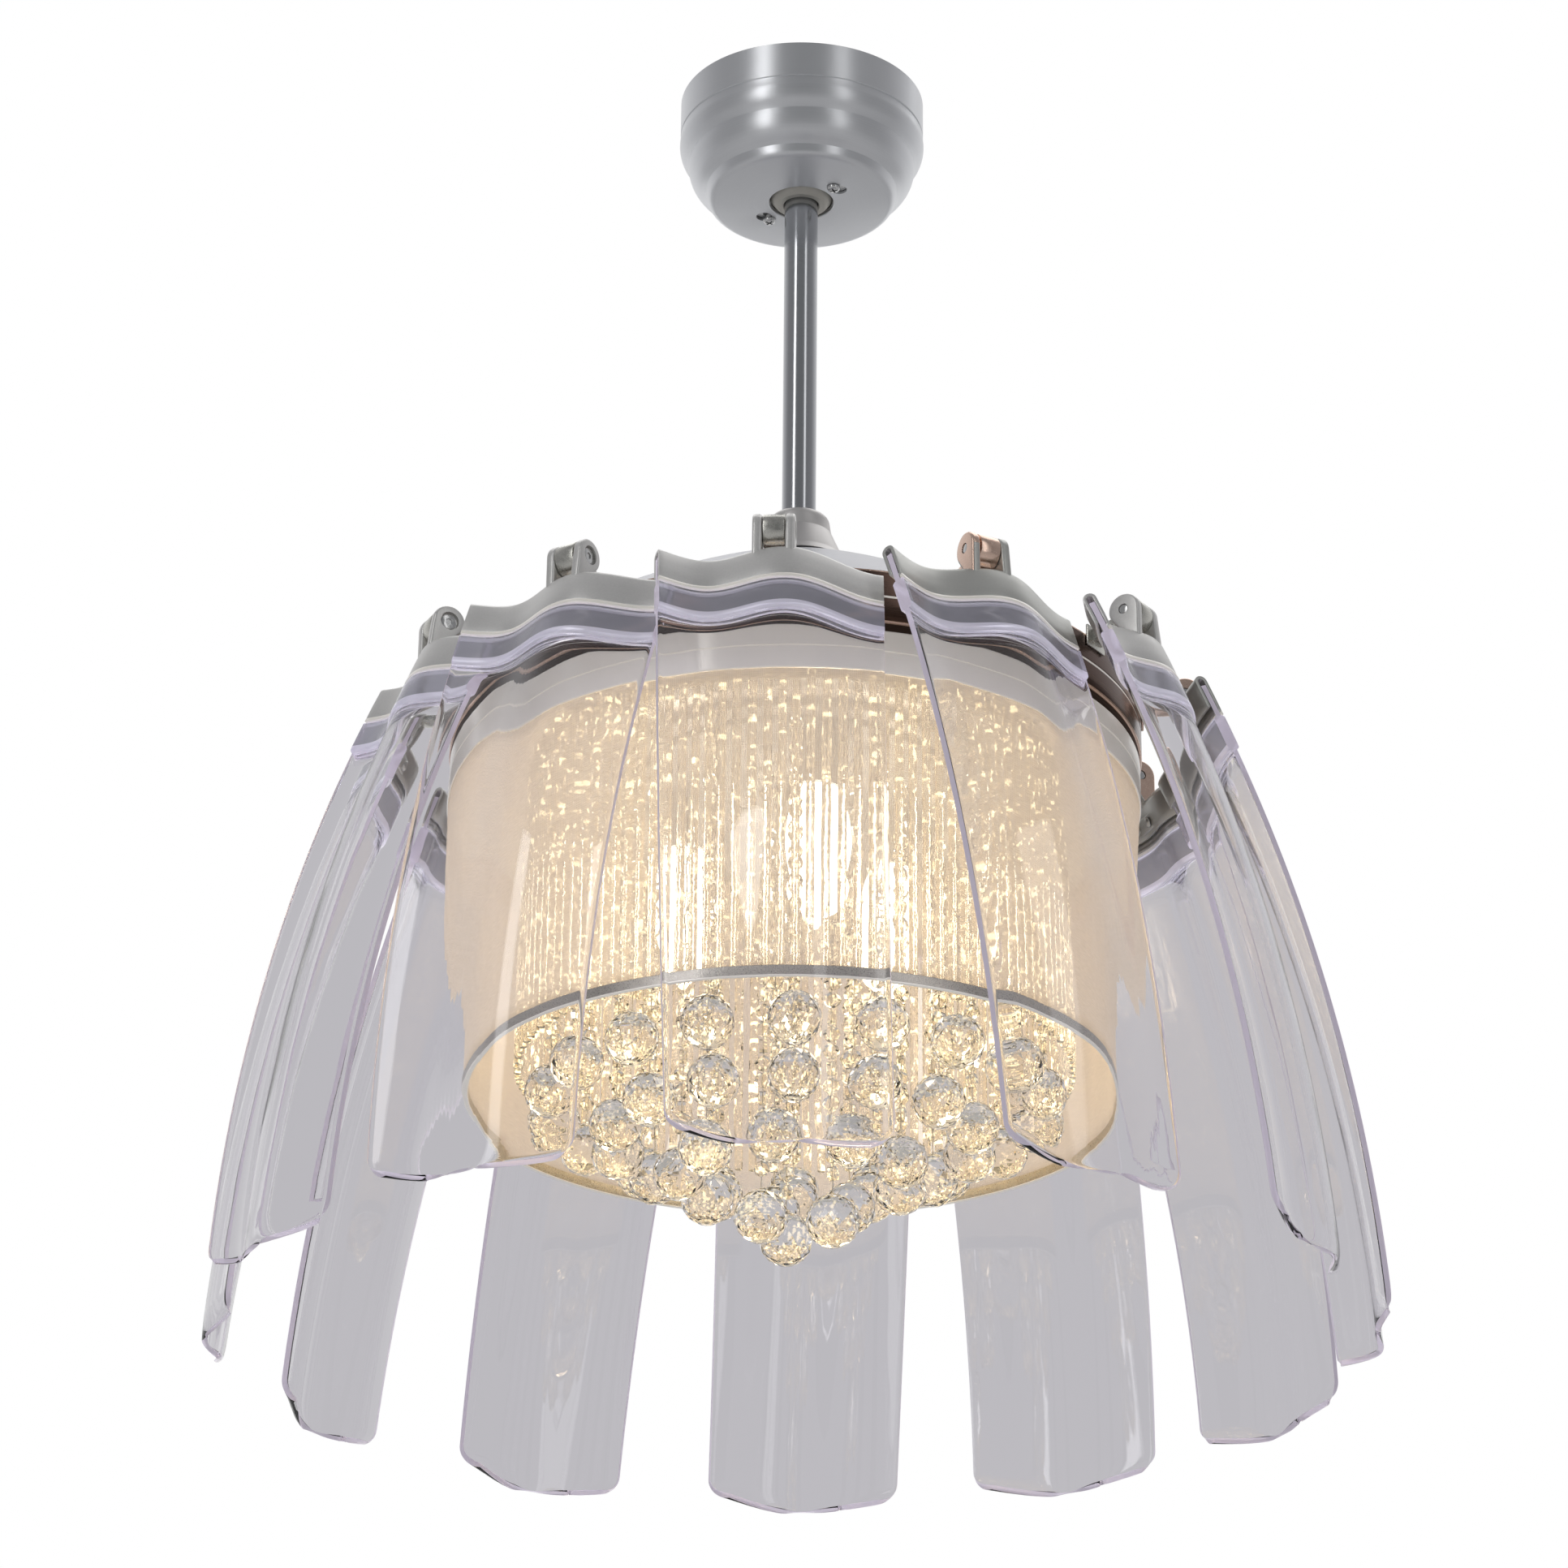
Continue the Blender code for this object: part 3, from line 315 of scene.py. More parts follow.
def marks_group(name, marks, distance):
    """Marks in a metal's face, put out as a mask and as a normal."""
    group = bpy.data.node_groups.new(name, "ShaderNodeTree")
    sockets = (
        ("Fineness", "INPUT", "Float"), ("Depth", "INPUT", "Float"),
        ("Mask", "OUTPUT", "Float"), ("Normal", "OUTPUT", "Vector"),
    )
    for socket, way, kind in sockets:
        group.interface.new_socket(socket, in_out=way, socket_type="NodeSocket" + kind)
    given = group.nodes.new("NodeGroupInput")
    mask = marks(group, given.outputs["Fineness"])
    normal = bumped(group, mask, given.outputs["Depth"], distance)
    feed(group, group.nodes.new("NodeGroupOutput"), {"Mask": mask, "Normal": normal})
    return group


def metal(name, group, marks, colour, shade, rough, aniso=0.0, metallic=1.0, coat=0.0, glow=0.0):
    """A metal whose colour and roughness follow its marks, given by fineness and depth."""
    material, tree, shader = new_material(name)
    inputs = {"Fineness": marks[0], "Depth": marks[1]}
    face = node(tree, "Group", inputs, node_tree=group)
    mask = face.outputs["Mask"]
    tint = between(tree, mask, shade, colour)
    feed(tree, shader, {
        "Base Color": tint,
        "Metallic": metallic,
        "Roughness": spread(tree, mask, *rough, 0.3, 0.7),
        "Normal": face.outputs["Normal"],
        "Coat Weight": coat,
        "Coat Roughness": 0.18,
        "Anisotropic": aniso,
    })
    # Glow is painted light: an even emission that makes the metal look lit. Only the bright band
    # finish uses it.
    if glow:
        feed(tree, shader, {"Emission Color": tint, "Emission Strength": glow})
    if aniso:
        tangent = node(tree, "Tangent", direction_type="RADIAL", axis="Z").outputs[0]
        feed(tree, shader, {"Anisotropic Rotation": 0.25, "Tangent": tangent})
    return material


def let_light_through(tree, shader, tint):
    """Lets the lamps' light pass a clear piece, so that its shadow stays light."""
    clear = node(tree, "BsdfTransparent", {"Color": tint})
    shadow = node(tree, "LightPath").outputs["Is Shadow Ray"]
    blend = node(tree, "MixShader", {0: shadow, 1: shader.outputs[0], 2: clear.outputs[0]})
    feed(tree, tree.nodes["Material Output"], {"Surface": blend.outputs[0]})


def clear_acrylic():
    """Polished clear acrylic with a trace of lavender and soft ripples from moulding."""
    material, tree, shader = new_material("clear_acrylic")
    place = object_place(tree)
    haze = noise(tree, place, 14.0, 3.0)
    ripples = noise(tree, stretched(tree, place, (1.0, 1.0, 0.35)), 24.0, 2.0)
    feed(tree, shader, {
        "Transmission Weight": 1.0,
        "IOR": 1.45,
        "Base Color": between(tree, haze, (0.983, 0.977, 0.992), (0.995, 0.992, 0.998)),
        "Roughness": spread(tree, haze, 0.0, 0.03, 0.35, 0.75),
        "Normal": bumped(tree, ripples, 0.14, 0.002),
    })
    let_light_through(tree, shader, (0.95, 0.94, 0.97))
    return material


def acrylic_edge():
    """The sawn and polished edge. Its lavender emission is a painted glow, standing in for light
    that runs through the sheet's whole width.
    """
    material, tree, shader = new_material("acrylic_edge")
    cloud = noise(tree, object_place(tree), 60.0, 3.0)
    feed(tree, shader, {
        "Transmission Weight": 0.30,
        "IOR": 1.2,
        "Base Color": between(tree, cloud, (0.76, 0.71, 0.87), (0.86, 0.80, 0.91)),
        "Roughness": spread(tree, cloud, 0.16, 0.30),
        # Painted glow along the edge.
        "Emission Color": (0.80, 0.70, 0.82),
        "Emission Strength": 0.16,
    })
    let_light_through(tree, shader, (0.85, 0.83, 0.92))
    return material


def milky_acrylic(name, shade, colour, glow):
    """The thick root of a blade, clouded. Its glow is a painted emission that makes it look lit
    from inside.
    """
    material, tree, shader = new_material(name)
    cloud = noise(tree, object_place(tree), 35.0)
    tint = between(tree, cloud, shade, colour)
    feed(tree, shader, {
        "Transmission Weight": 0.62,
        "IOR": 1.45,
        "Base Color": tint,
        "Roughness": spread(tree, cloud, 0.05, 0.16, 0.3, 0.7),
        # Emission by glow: painted light.
        "Emission Color": tint,
        "Emission Strength": glow,
    })
    let_light_through(tree, shader, (0.9, 0.89, 0.93))
    return material


def cut_crystal(name, tint, roughness, stretch, painted_glint, ripple=0.0):
    """Clear glass with painted glints: a noise mask lays small bright spots of warm emission where
    the lamps would sparkle.
    """
    material, tree, shader = new_material(name)
    place = stretched(tree, object_place(tree), (1.0, 1.0, stretch))
    grain_and_painted_glints = noise(tree, place, 260.0, 2.0)
    feed(tree, shader, {
        "Transmission Weight": 1.0,
        "IOR": 1.5,
        "Base Color": between(tree, grain_and_painted_glints, tint, (1.0, 1.0, 1.0)),
        "Roughness": spread(tree, grain_and_painted_glints, 0.0, roughness),
        # Painted glints: warm emission in the noise mask's brightest spots.
        "Emission Color": (1.0, 0.80, 0.46),
        "Emission Strength": spread(tree, grain_and_painted_glints, 0.0, painted_glint, 0.61, 0.69),
    })
    if ripple:
        feed(tree, shader, {"Normal": bumped(tree, grain_and_painted_glints, ripple, 0.002)})
    let_light_through(tree, shader, (0.97, 0.96, 0.94))
    return material


def organza():
    """Sheer woven cloth, lit by the lamps, with a painted warm glow: an emission standing in for
    their light shining through it. U runs round the drum and V up it, in metres.
    """
    material, tree, shader = new_material("organza")
    cloth = node(tree, "UVMap", uv_map="cloth").outputs[0]
    threads = []
    for along, pitch in zip(parted(tree, cloth), (0.0011, 0.0008)):
        wave = maths(tree, "SINE", maths(tree, "MULTIPLY", along, 2.0 * math.pi / pitch))
        threads.append(spread(tree, wave, 0.0, 1.0, -1.0, 1.0))
    weave = maths(tree, "MAXIMUM", *threads)
    slub = noise(tree, stretched(tree, cloth, (150.0, 2400.0, 1.0)), 1.0, 4.0, 0.6)
    yarn = spread(tree, slub, 0.16, 0.28, 0.3, 0.7)
    cover = maths(tree, "ADD", maths(tree, "MULTIPLY", weave, 0.12), yarn)
    slant = node(tree, "LayerWeight").outputs["Facing"]
    feed(tree, shader, {
        "Alpha": maths(tree, "ADD", cover, spread(tree, slant, 0.0, 0.42, 0.15, 0.85)),
        "Base Color": between(tree, slub, (0.86, 0.76, 0.66), (0.95, 0.88, 0.80)),
        "Roughness": 0.7,
        "Sheen Weight": 0.3,
        # Painted glow from the lamps behind the cloth.
        "Emission Color": between(tree, slub, (1.0, 0.66, 0.32), (1.0, 0.74, 0.40)),
        "Emission Strength": 0.165,
        "Normal": bumped(tree, weave, 0.3, 0.0003),
    })
    return material


def lamp_glass():
    """Warm lit bulb, palest near its collar."""
    material, tree, shader = new_material("lit_bulb")
    level = parted(tree, object_place(tree))[2]
    height = spread(tree, level, 0.0, 1.0, -0.545, -0.475)
    glow = between(tree, height, (1.0, 0.84, 0.58), (1.0, 0.93, 0.78))
    feed(tree, shader, {
        "Base Color": glow,
        "Roughness": 0.3,
        "Emission Color": glow,
        "Emission Strength": 4.5,
    })
    return material


def enamel(name, colour, shade, roughness):
    """A smooth opaque face with faint clouds."""
    material, tree, shader = new_material(name)
    cloud = noise(tree, object_place(tree), 90.0)
    feed(tree, shader, {
        "Base Color": between(tree, cloud, shade, colour),
        "Roughness": spread(tree, cloud, roughness * 0.8, roughness * 1.2),
        "Normal": bumped(tree, cloud, 0.15, 0.0002),
    })
    return material


def make_finishes():
    lathe = marks_group("lathe_marks", turned_rings, 0.0002)
    grain = marks_group("metal_grain", blasted_grain, 0.0003)
    return {
        "brushed": metal(
            "brushed_nickel", lathe, (5200.0, 0.10), (0.80, 0.81, 0.83), (0.66, 0.67, 0.69),
            (0.28, 0.42), 0.6, 0.8),
        "polished": metal(
            "polished_nickel", lathe, (3000.0, 0.006), (0.56, 0.57, 0.59), (0.50, 0.51, 0.53),
            (0.14, 0.22), 0.4),
        # The bright band glows a little: painted light.
        "bright": metal(
            "bright_band_painted_glow", lathe, (6000.0, 0.10), (0.99, 0.95, 0.88), (0.90, 0.86, 0.79),
            (0.26, 0.40), 0.15, 0.35, 0.6, 0.12),
        "satin": metal(
            "satin_nickel", grain, (900.0, 0.05), (0.82, 0.81, 0.79), (0.70, 0.69, 0.67),
            (0.34, 0.48), 0.0, 0.75),
        "cast": metal(
            "cast_nickel", grain, (500.0, 0.06), (0.70, 0.69, 0.64), (0.54, 0.53, 0.49),
            (0.20, 0.34)),
        "greyed": metal(
            "greyed_nickel", grain, (900.0, 0.05), (0.62, 0.62, 0.59), (0.55, 0.55, 0.52),
            (0.32, 0.44), 0.0, 0.75),
        "copper": metal(
            "rose_copper", grain, (500.0, 0.04), (0.92, 0.70, 0.58), (0.80, 0.56, 0.45),
            (0.16, 0.30)),
        "blasted": metal(
            "blasted_steel", grain, (2600.0, 0.55), (0.62, 0.60, 0.55), (0.42, 0.41, 0.38),
            (0.50, 0.68)),
        "silver": metal(
            "silver_spray", grain, (2200.0, 0.10), (0.74, 0.72, 0.70), (0.68, 0.66, 0.65),
            (0.42, 0.55)),
        "dome": metal(
            "polished_dome", lathe, (3800.0, 0.05), (0.56, 0.56, 0.59), (0.48, 0.48, 0.51),
            (0.30, 0.44), 0.2, 0.4),
        "bronze": metal(
            "dark_bronze", lathe, (2600.0, 0.05), (0.15, 0.095, 0.075), (0.07, 0.045, 0.038),
            (0.16, 0.30), 0.3),
        "steel": metal(
            "bright_steel", grain, (800.0, 0.04), (0.72, 0.72, 0.71), (0.60, 0.60, 0.60),
            (0.14, 0.26)),
        "gunmetal": metal(
            "gunmetal", grain, (1800.0, 0.30), (0.60, 0.57, 0.52), (0.34, 0.32, 0.29),
            (0.22, 0.40)),
        "copper_wire": metal(
            "copper_wire", lathe, (2200.0, 0.60), (0.72, 0.36, 0.20), (0.42, 0.19, 0.10),
            (0.30, 0.50)),
        "ferrite": enamel("ferrite", (0.10, 0.10, 0.11), (0.05, 0.05, 0.06), 0.55),
        "white": enamel("white_enamel", (0.88, 0.87, 0.84), (0.80, 0.79, 0.76), 0.35),
        "acrylic": clear_acrylic(),
        "edge": acrylic_edge(),
        "pad": milky_acrylic("pad_acrylic", (0.50, 0.50, 0.56), (0.64, 0.64, 0.70), 0.0),
        # The pad's steps are paler and glow: painted highlight lines along the pad's edges.
        "step": milky_acrylic("step_acrylic", (0.80, 0.77, 0.94), (0.90, 0.88, 0.98), 0.20),
        # Crystal, bead and rod glass all carry painted glints.
        "crystal": cut_crystal("cut_crystal", (0.99, 0.97, 0.93), 0.02, 1.0, 0.45),
        "bead": cut_crystal("bead_crystal", (0.98, 0.90, 0.74), 0.06, 1.0, 1.3),
        "rod_glass": cut_crystal("rod_glass", (0.98, 0.89, 0.72), 0.12, 0.7, 2.0, 0.6),
        "organza": organza(),
        "lamp": lamp_glass(),
    }


# Mesh helpers


def mesh_of(name, work):
    mesh = bpy.data.meshes.new(name)
    work.to_mesh(mesh)
    work.free()
    return mesh


def loose_object(name, work):
    return added(name, mesh_of(name, work))


def dressed(piece, finishes, body, solid, slot, angle=35.0):
    """Gives a piece its finishes, the body it rides on and the solid it stands for."""
    mesh = piece.data
    last = len(finishes) - 1
    numbers = [min(polygon.material_index, last) for polygon in mesh.polygons]
    mesh.materials.clear()
    for finish in finishes:
        mesh.materials.append(LOOKS[finish])
    mesh.polygons.foreach_set("material_index", numbers)
    if angle:
        mesh.shade_smooth()
        mesh.set_sharp_from_angle(angle=math.radians(angle))
    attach(piece, body)
    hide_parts(solid)
    return piece


def finished(name, work, *dress):
    """Makes a bmesh a piece of the fan."""
    return dressed(loose_object(name, work), *dress)


def spun(profile, steps, closed=True):
    """A profile of radius and level spun round Z."""
    work = bmesh.new()
    points = [work.verts.new((radius, 0.0, level)) for radius, level in profile]
    edges = [work.edges.new(pair) for pair in zip(points, points[1:])]
    if closed:
        edges.append(work.edges.new((points[-1], points[0])))
    bmesh.ops.spin(
        work, geom=points + edges, cent=(0, 0, 0), axis=(0, 0, 1), angle=2.0 * math.pi,
        steps=steps, use_merge=True,
    )
    bmesh.ops.remove_doubles(work, verts=work.verts[:], dist=1e-6)
    bmesh.ops.recalc_face_normals(work, faces=work.faces[:])
    return work


def spun_piece(solid, profile, finish, body, slot, angle=35.0, steps=96):
    """A turned piece that stands for a solid."""
    finished(f"fine_{solid}", spun(profile, steps), [finish], body, solid, slot, angle)


def eased(points, radius, segments=3, closed=True):
    """The profile with each corner rounded off by an arc-like cut."""
    eased_points = []
    count = len(points)
    for index, point in enumerate(points):
        here = Vector(point)
        if not closed and index in (0, count - 1):
            eased_points.append(tuple(here))
            continue
        before = Vector(points[index - 1]) - here
        after = Vector(points[(index + 1) % count]) - here
        reach = min(radius, before.length * 0.45, after.length * 0.45)
        start = here + before.normalized() * reach
        end = here + after.normalized() * reach
        for step in range(segments + 1):
            share = step / segments
            low = start.lerp(here, share)
            high = here.lerp(end, share)
            eased_points.append(tuple(low.lerp(high, share)))
    return eased_points


def bowed(start, end, bulge, segments):
    """Points from start to end on a curve that stands out by bulge."""
    chord = Vector(end) - Vector(start)
    outward = Vector((-chord.y, chord.x)).normalized()
    points = []
    for index in range(segments + 1):
        share = index / segments
        point = Vector(start) + chord * share + outward * 4.0 * bulge * share * (1.0 - share)
        points.append((point.x, point.y))
    return points


def baked(piece):
    """Applies the piece's modifiers to its mesh."""
    bpy.context.view_layer.update()
    graph = bpy.context.evaluated_depsgraph_get()
    mesh = bpy.data.meshes.new_from_object(piece.evaluated_get(graph))
    piece.modifiers.clear()
    piece.data = mesh


def cut(piece, work, crossing=False):
    """Takes the work's forms out of the piece. Crossing says that they cut each other."""
    tool = loose_object("cutter", work)
    modifier = piece.modifiers.new("cut", "BOOLEAN")
    modifier.operation = "DIFFERENCE"
    modifier.use_self = crossing
    modifier.object = tool
    baked(piece)
    bpy.data.objects.remove(tool)


def bored(piece, *bores, crossing=False):
    """Cuts cylinders of (radius, length, place, sides) out of the piece."""
    tool = bmesh.new()
    for bore in bores:
        cylinder(tool, *bore)
    cut(piece, tool, crossing)


def walled(piece, thickness, edge):
    """Modifiers that give an open sheet its thickness and softened edges."""
    wall = piece.modifiers.new("sheet", "SOLIDIFY")
    wall.thickness = thickness
    wall.offset = 0.0
    easing = piece.modifiers.new("edges", "BEVEL")
    easing.width = edge
    easing.segments = 2
    easing.limit_method = "ANGLE"
    easing.angle_limit = math.radians(50.0)
    return wall, easing


def cylinder(work, radius, length, place, sides=24, taper=1.0):
    return bmesh.ops.create_cone(
        work, cap_ends=True, segments=sides, radius1=radius, radius2=radius * taper,
        depth=length, matrix=place,
    )["verts"]


def box(work, size, place):
    matrix = place @ Matrix.Diagonal((*size, 1.0))
    return bmesh.ops.create_cube(work, size=1.0, matrix=matrix)["verts"]


def soften(work, verts, width, segments=2):
    """Rounds the sharp edges among these points."""
    chosen = set(verts)
    edges = [
        edge for edge in work.edges
        if chosen.issuperset(edge.verts)
        and len(edge.link_faces) == 2 and edge.calc_face_angle() > math.radians(30.0)
    ]
    bmesh.ops.bevel(
        work, geom=edges, offset=width, offset_type="OFFSET", affect="EDGES",
        segments=segments, profile=0.5, material=-1,
    )


def add_copy(work, mesh, place):
    copy = mesh.copy()
    copy.transform(place)
    work.from_mesh(copy)
    bpy.data.meshes.remove(copy)


def add_screw_head(work, place, radius, height):
    """A pan head: a low spun dome."""
    points = [(0.0, height), (radius * 0.55, height), (radius * 0.86, height * 0.72)]
    points += [(radius, height * 0.3), (radius, 0.0)]
    add_copy(work, mesh_of("head", spun(points, 20, closed=False)), place)


# Blade form


def hang_line(along):
    """How far out and how low the blade is at a distance along it, and its lean there."""
    bend = (TIP_LEAN - ROOT_LEAN) / REACH
    lean = ROOT_LEAN + bend * along
    out = CHANNEL_OUTSIDE_HINGE + (math.cos(ROOT_LEAN) - math.cos(lean)) / bend
    down = CHANNEL_BELOW_HINGE + (math.sin(lean) - math.sin(ROOT_LEAN)) / bend
    return out, -down, lean


def wave_height(across, share):
    from_crest = across - WAVE_CREST
    wave = mix(*WAVE_HEIGHT, share) * (math.cos(2.0 * math.pi * from_crest / WAVE_PITCH) - 1.0)
    fall = (max(0.0, from_crest) / WAVE_AFTER_CREST) ** 2
    return wave - mix(*WAVE_TILT, share) * from_crest - mix(*WAVE_DROOP, share) * fall


def blade_point(across, along, inset=0.0):
    share = along / REACH
    out, level, lean = hang_line(along)
    lip = mix(LIP_ROOT, LIP_TIP, share) + inset
    tuck = mix(TUCK_ROOT, TUCK_TIP, share) - inset
    height = wave_height(across, share)
    side = mix(lip, tuck, across)
    return Vector((out + height * math.cos(lean), side, level + height * math.sin(lean)))


def blade_sideways(across, along):
    nudge = 1e-3
    return blade_point(across + nudge, along) - blade_point(across - nudge, along)


def blade_normal(across, along):
    nudge = 1e-3 * REACH
    downwards = blade_point(across, along + nudge) - blade_point(across, along - nudge)
    return blade_sideways(across, along).cross(-downwards).normalized()


def sheet_grid(work, rows, place):
    """A grid of faces moved into place row by row. Returns its points with their row numbers."""
    count = len(rows) - 1
    made = bmesh.ops.create_grid(work, x_segments=STRIPS_ACROSS, y_segments=count, size=0.5)
    placed = []
    for vertex in made["verts"]:
        index = round((vertex.co.y + 0.5) * count)
        vertex.co = place(vertex.co.x + 0.5, rows[index])
        placed.append((vertex, index))
    return placed


def quarter_turn(steps):
    """Sine and cosine after each step of a quarter turn."""
    turns = [math.radians(90.0 * step / steps) for step in range(1, steps + 1)]
    return [(math.sin(turn), math.cos(turn)) for turn in turns]


def blade_rows():
    """Rows of (along, inset, thickness share), from the root to the tip."""
    root = CHANNEL_WALL + PLAY
    pad_start = CHANNEL_OUTER + PLAY
    pad_end = pad_start + PAD_LENGTH - PAD_STEP
    rows = [(mix(root, pad_start, share), 0.0, THIN) for share in (0.0, 0.35, 0.7, 1.0)]
    for sine, cosine in quarter_turn(4):
        rows.append((pad_start + PAD_STEP * (1.0 - cosine), 0.0, mix(THIN, 1.0, sine)))
    rows += [(mix(pad_start, pad_end, share), 0.0, 1.0) for share in (0.3, 0.6, 0.9)]
    for sine, cosine in quarter_turn(4):
        rows.append((pad_end + PAD_STEP * sine, 0.0, mix(1.0, THIN, 1.0 - cosine)))
    corner = REACH - TIP_CORNER
    rows += [(mix(pad_end + PAD_STEP, corner, step / 28), 0.0, THIN) for step in range(1, 29)]
    for sine, cosine in quarter_turn(12):
        rows.append((corner + TIP_CORNER * sine, TIP_CORNER * (1.0 - cosine), THIN))
    return rows


def blade_pattern():
    """One blade in its hinge's frame: waved, thickened, with softened edges."""
    rows = blade_rows()
    work = bmesh.new()
    weights = work.verts.layers.deform.verify()

    def place(across, row):
        along, inset, _ = row
        near_tip = max(0.0, 1.0 - (REACH - along) / TIP_BOW)
        along -= TIP_CONVEXITY * near_tip**2 * (2.0 * across - 1.0) ** 2
        return blade_point(across, along, inset)

    for vertex, index in sheet_grid(work, rows, place):
        vertex[weights][0] = rows[index][2]
    for face in work.faces:
        shares = {round(vertex[weights][0], 3) for vertex in face.verts}
        face.material_index = 4 if len(shares) > 1 else 2 if min(shares) > THIN + 0.01 else 0
    pattern = loose_object("blade_pattern", work)
    pattern.vertex_groups.new(name="pad")
    for finish in BLADE_FINISHES:
        pattern.data.materials.append(LOOKS[finish])
    wall, easing = walled(pattern, PAD_THICKNESS, 0.0007)
    wall.vertex_group = "pad"
    wall.material_offset_rim = 1
    easing.material = 1
    baked(pattern)
    return pattern


def fold_rows():
    """Rows of (along, lift) round the folded strip: inner leg, fold, outer leg."""
    half = THICKNESS / 2.0 + PLAY + CHANNEL_WALL / 2.0
    rows = [(mix(CHANNEL_INNER, half, share), -half) for share in (0.0, 0.35, 0.7)]
    crown = CHANNEL_WALL / 2.0 - FOLD_RISE
    for step in range(9):
        turn = math.radians(180.0 * step / 8)
        rows.append((half * (1.0 - math.sin(turn)) + crown, -half * math.cos(turn)))
    rows += [(mix(half, CHANNEL_OUTER, share), half) for share in (0.2, 0.4)]
    line = CHANNEL_OUTER - 0.0026
    floor = half - 0.0005
    rows += [(line - 0.0006, half), (line - 0.0003, floor), (line + 0.0003, floor)]
    rows += [(line + 0.0006, half), (CHANNEL_OUTER, half)]
    return rows


def add_ear(work, side):
    """A hull over the ear's round head and its foot on the strip."""
    inner = side * (BOSS_LENGTH / 2.0 + EAR_GAP)
    outer = inner + side * EAR_THICKNESS
    across = ((inner + outer) / 2.0 - LIP_ROOT) / (TUCK_ROOT - LIP_ROOT)
    foot = blade_point(across, CHANNEL_WALL / 2.0)
    reach = blade_normal(across, CHANNEL_WALL / 2.0) * (THICKNESS / 2.0 + CHANNEL_WALL)
    points = []
    for index in range(40):
        angle = math.radians(9.0 * index)
        points.append((EAR_RADIUS * math.cos(angle), EAR_RADIUS * math.sin(angle)))
    points += [(corner.x, corner.z) for corner in (foot - reach, foot + reach)]
    corners = [work.verts.new((x, y, z)) for y in (inner, outer) for x, z in points]
    result = bmesh.ops.convex_hull(work, input=corners)
    loose = [item for item in result["geom_interior"] if isinstance(item, bmesh.types.BMVert)]
    bmesh.ops.delete(work, geom=loose, context="VERTS")
    bmesh.ops.dissolve_limit(
        work, angle_limit=math.radians(1.0), verts=work.verts[:], edges=work.edges[:]
    )


def inner_face(across, along, lift):
    """Place on the inner leg, its Z axis standing out of the face towards the lamp."""
    normal = -blade_normal(across, along)
    side = blade_sideways(across, along).normalized()
    matrix = Matrix((side, normal.cross(side), normal)).transposed().to_4x4()
    half = THICKNESS / 2.0 + PLAY + CHANNEL_WALL
    matrix.translation = blade_point(across, along) + normal * (half + lift)
    return matrix


def add_clamp_plate(work):
    """Cast lug with two screws on the inner leg."""
    along = 0.0085
    plate = box(work, (0.030, 0.009, 0.0018), inner_face(0.5, along, 0.0004))
    soften(work, plate, 0.0008, 3)
    for across in (0.42, 0.58):
        add_screw_head(work, inner_face(across, along, 0.0010), 0.0030, 0.0016)


def bracket_pattern():
    """Folded strip with two ears. One ear is counterbored for the pin's head."""
    work = bmesh.new()

    def place(across, row):
        along, lift = row
        return blade_point(across, along) + lift * blade_normal(across, along)

    rows = fold_rows()
    last = len(rows) - 2
    # The strip's last rows take the bright band finish: a painted highlight line along the lower
    # edge.
    painted_highlight_edge = {vertex for vertex, index in sheet_grid(work, rows, place) if index >= last}
    for face in work.faces:
        face.material_index = 2 if painted_highlight_edge.issuperset(face.verts) else 0
    strip = loose_object("bracket_strip", work)
    for finish in BRACKET_FINISHES:
        strip.data.materials.append(LOOKS[finish])
    walled(strip, CHANNEL_WALL, 0.0005)
    baked(strip)
    ears = bmesh.new()
    for side in (-1.0, 1.0):
        add_ear(ears, side)
    soften(ears, ears.verts[:], 0.0014, 4)
    web_width = BOSS_LENGTH + 2.0 * EAR_GAP + 0.004
    web = box(ears, (0.0022, web_width, 0.0080), at(0.0076, 0.0, -0.0112))
    soften(ears, web, 0.0004)
    lugs = loose_object("bracket_ears", ears)
    bored(lugs, (PIN_RADIUS + PLAY, 0.05, ALONG_Y))
    bored(lugs, (0.0052, 0.0044, at(y=EAR_OUTSIDE) @ ALONG_Y, 32))
    joined = bmesh.new()
    for part in (strip, lugs):
        joined.from_mesh(part.data)
    add_clamp_plate(joined)
    for part in (strip, lugs):
        bpy.data.objects.remove(part)
    return loose_object("bracket_pattern", joined)


def bracket_look(polygon):
    """Finish number of a warm bracket's face: a copper left ear on a greyer sheet."""
    place = polygon.center
    if polygon.material_index:
        return polygon.material_index
    on_left_ear = place.y < -BOSS_LENGTH / 2.0 and place.z > -0.010 and place.x < EAR_RADIUS
    return 1 if on_left_ear else 3


def pin_pattern():
    """Plain pin with a socket head that sits in the ear's counterbore."""
    far = EAR_OUTSIDE - PLAY
    head_height = 0.0016
    tail_gap = 0.0022
    work = bmesh.new()
    place = at(y=-tail_gap / 2.0) @ ALONG_Y
    soften(work, cylinder(work, PIN_RADIUS, 2.0 * far - tail_gap, place), 0.0002)
    head = bmesh.new()
    head_place = at(y=far - head_height) @ ALONG_Y
    soften(head, cylinder(head, 0.0045, head_height, head_place, 28), 0.0004)
    screw = loose_object("pin_head", head)
    bored(screw, (0.0020, 0.0016, at(y=far - 0.0006) @ ALONG_Y, 6))
    work.from_mesh(screw.data)
    bpy.data.objects.remove(screw)
    return loose_object("pin_pattern", work)


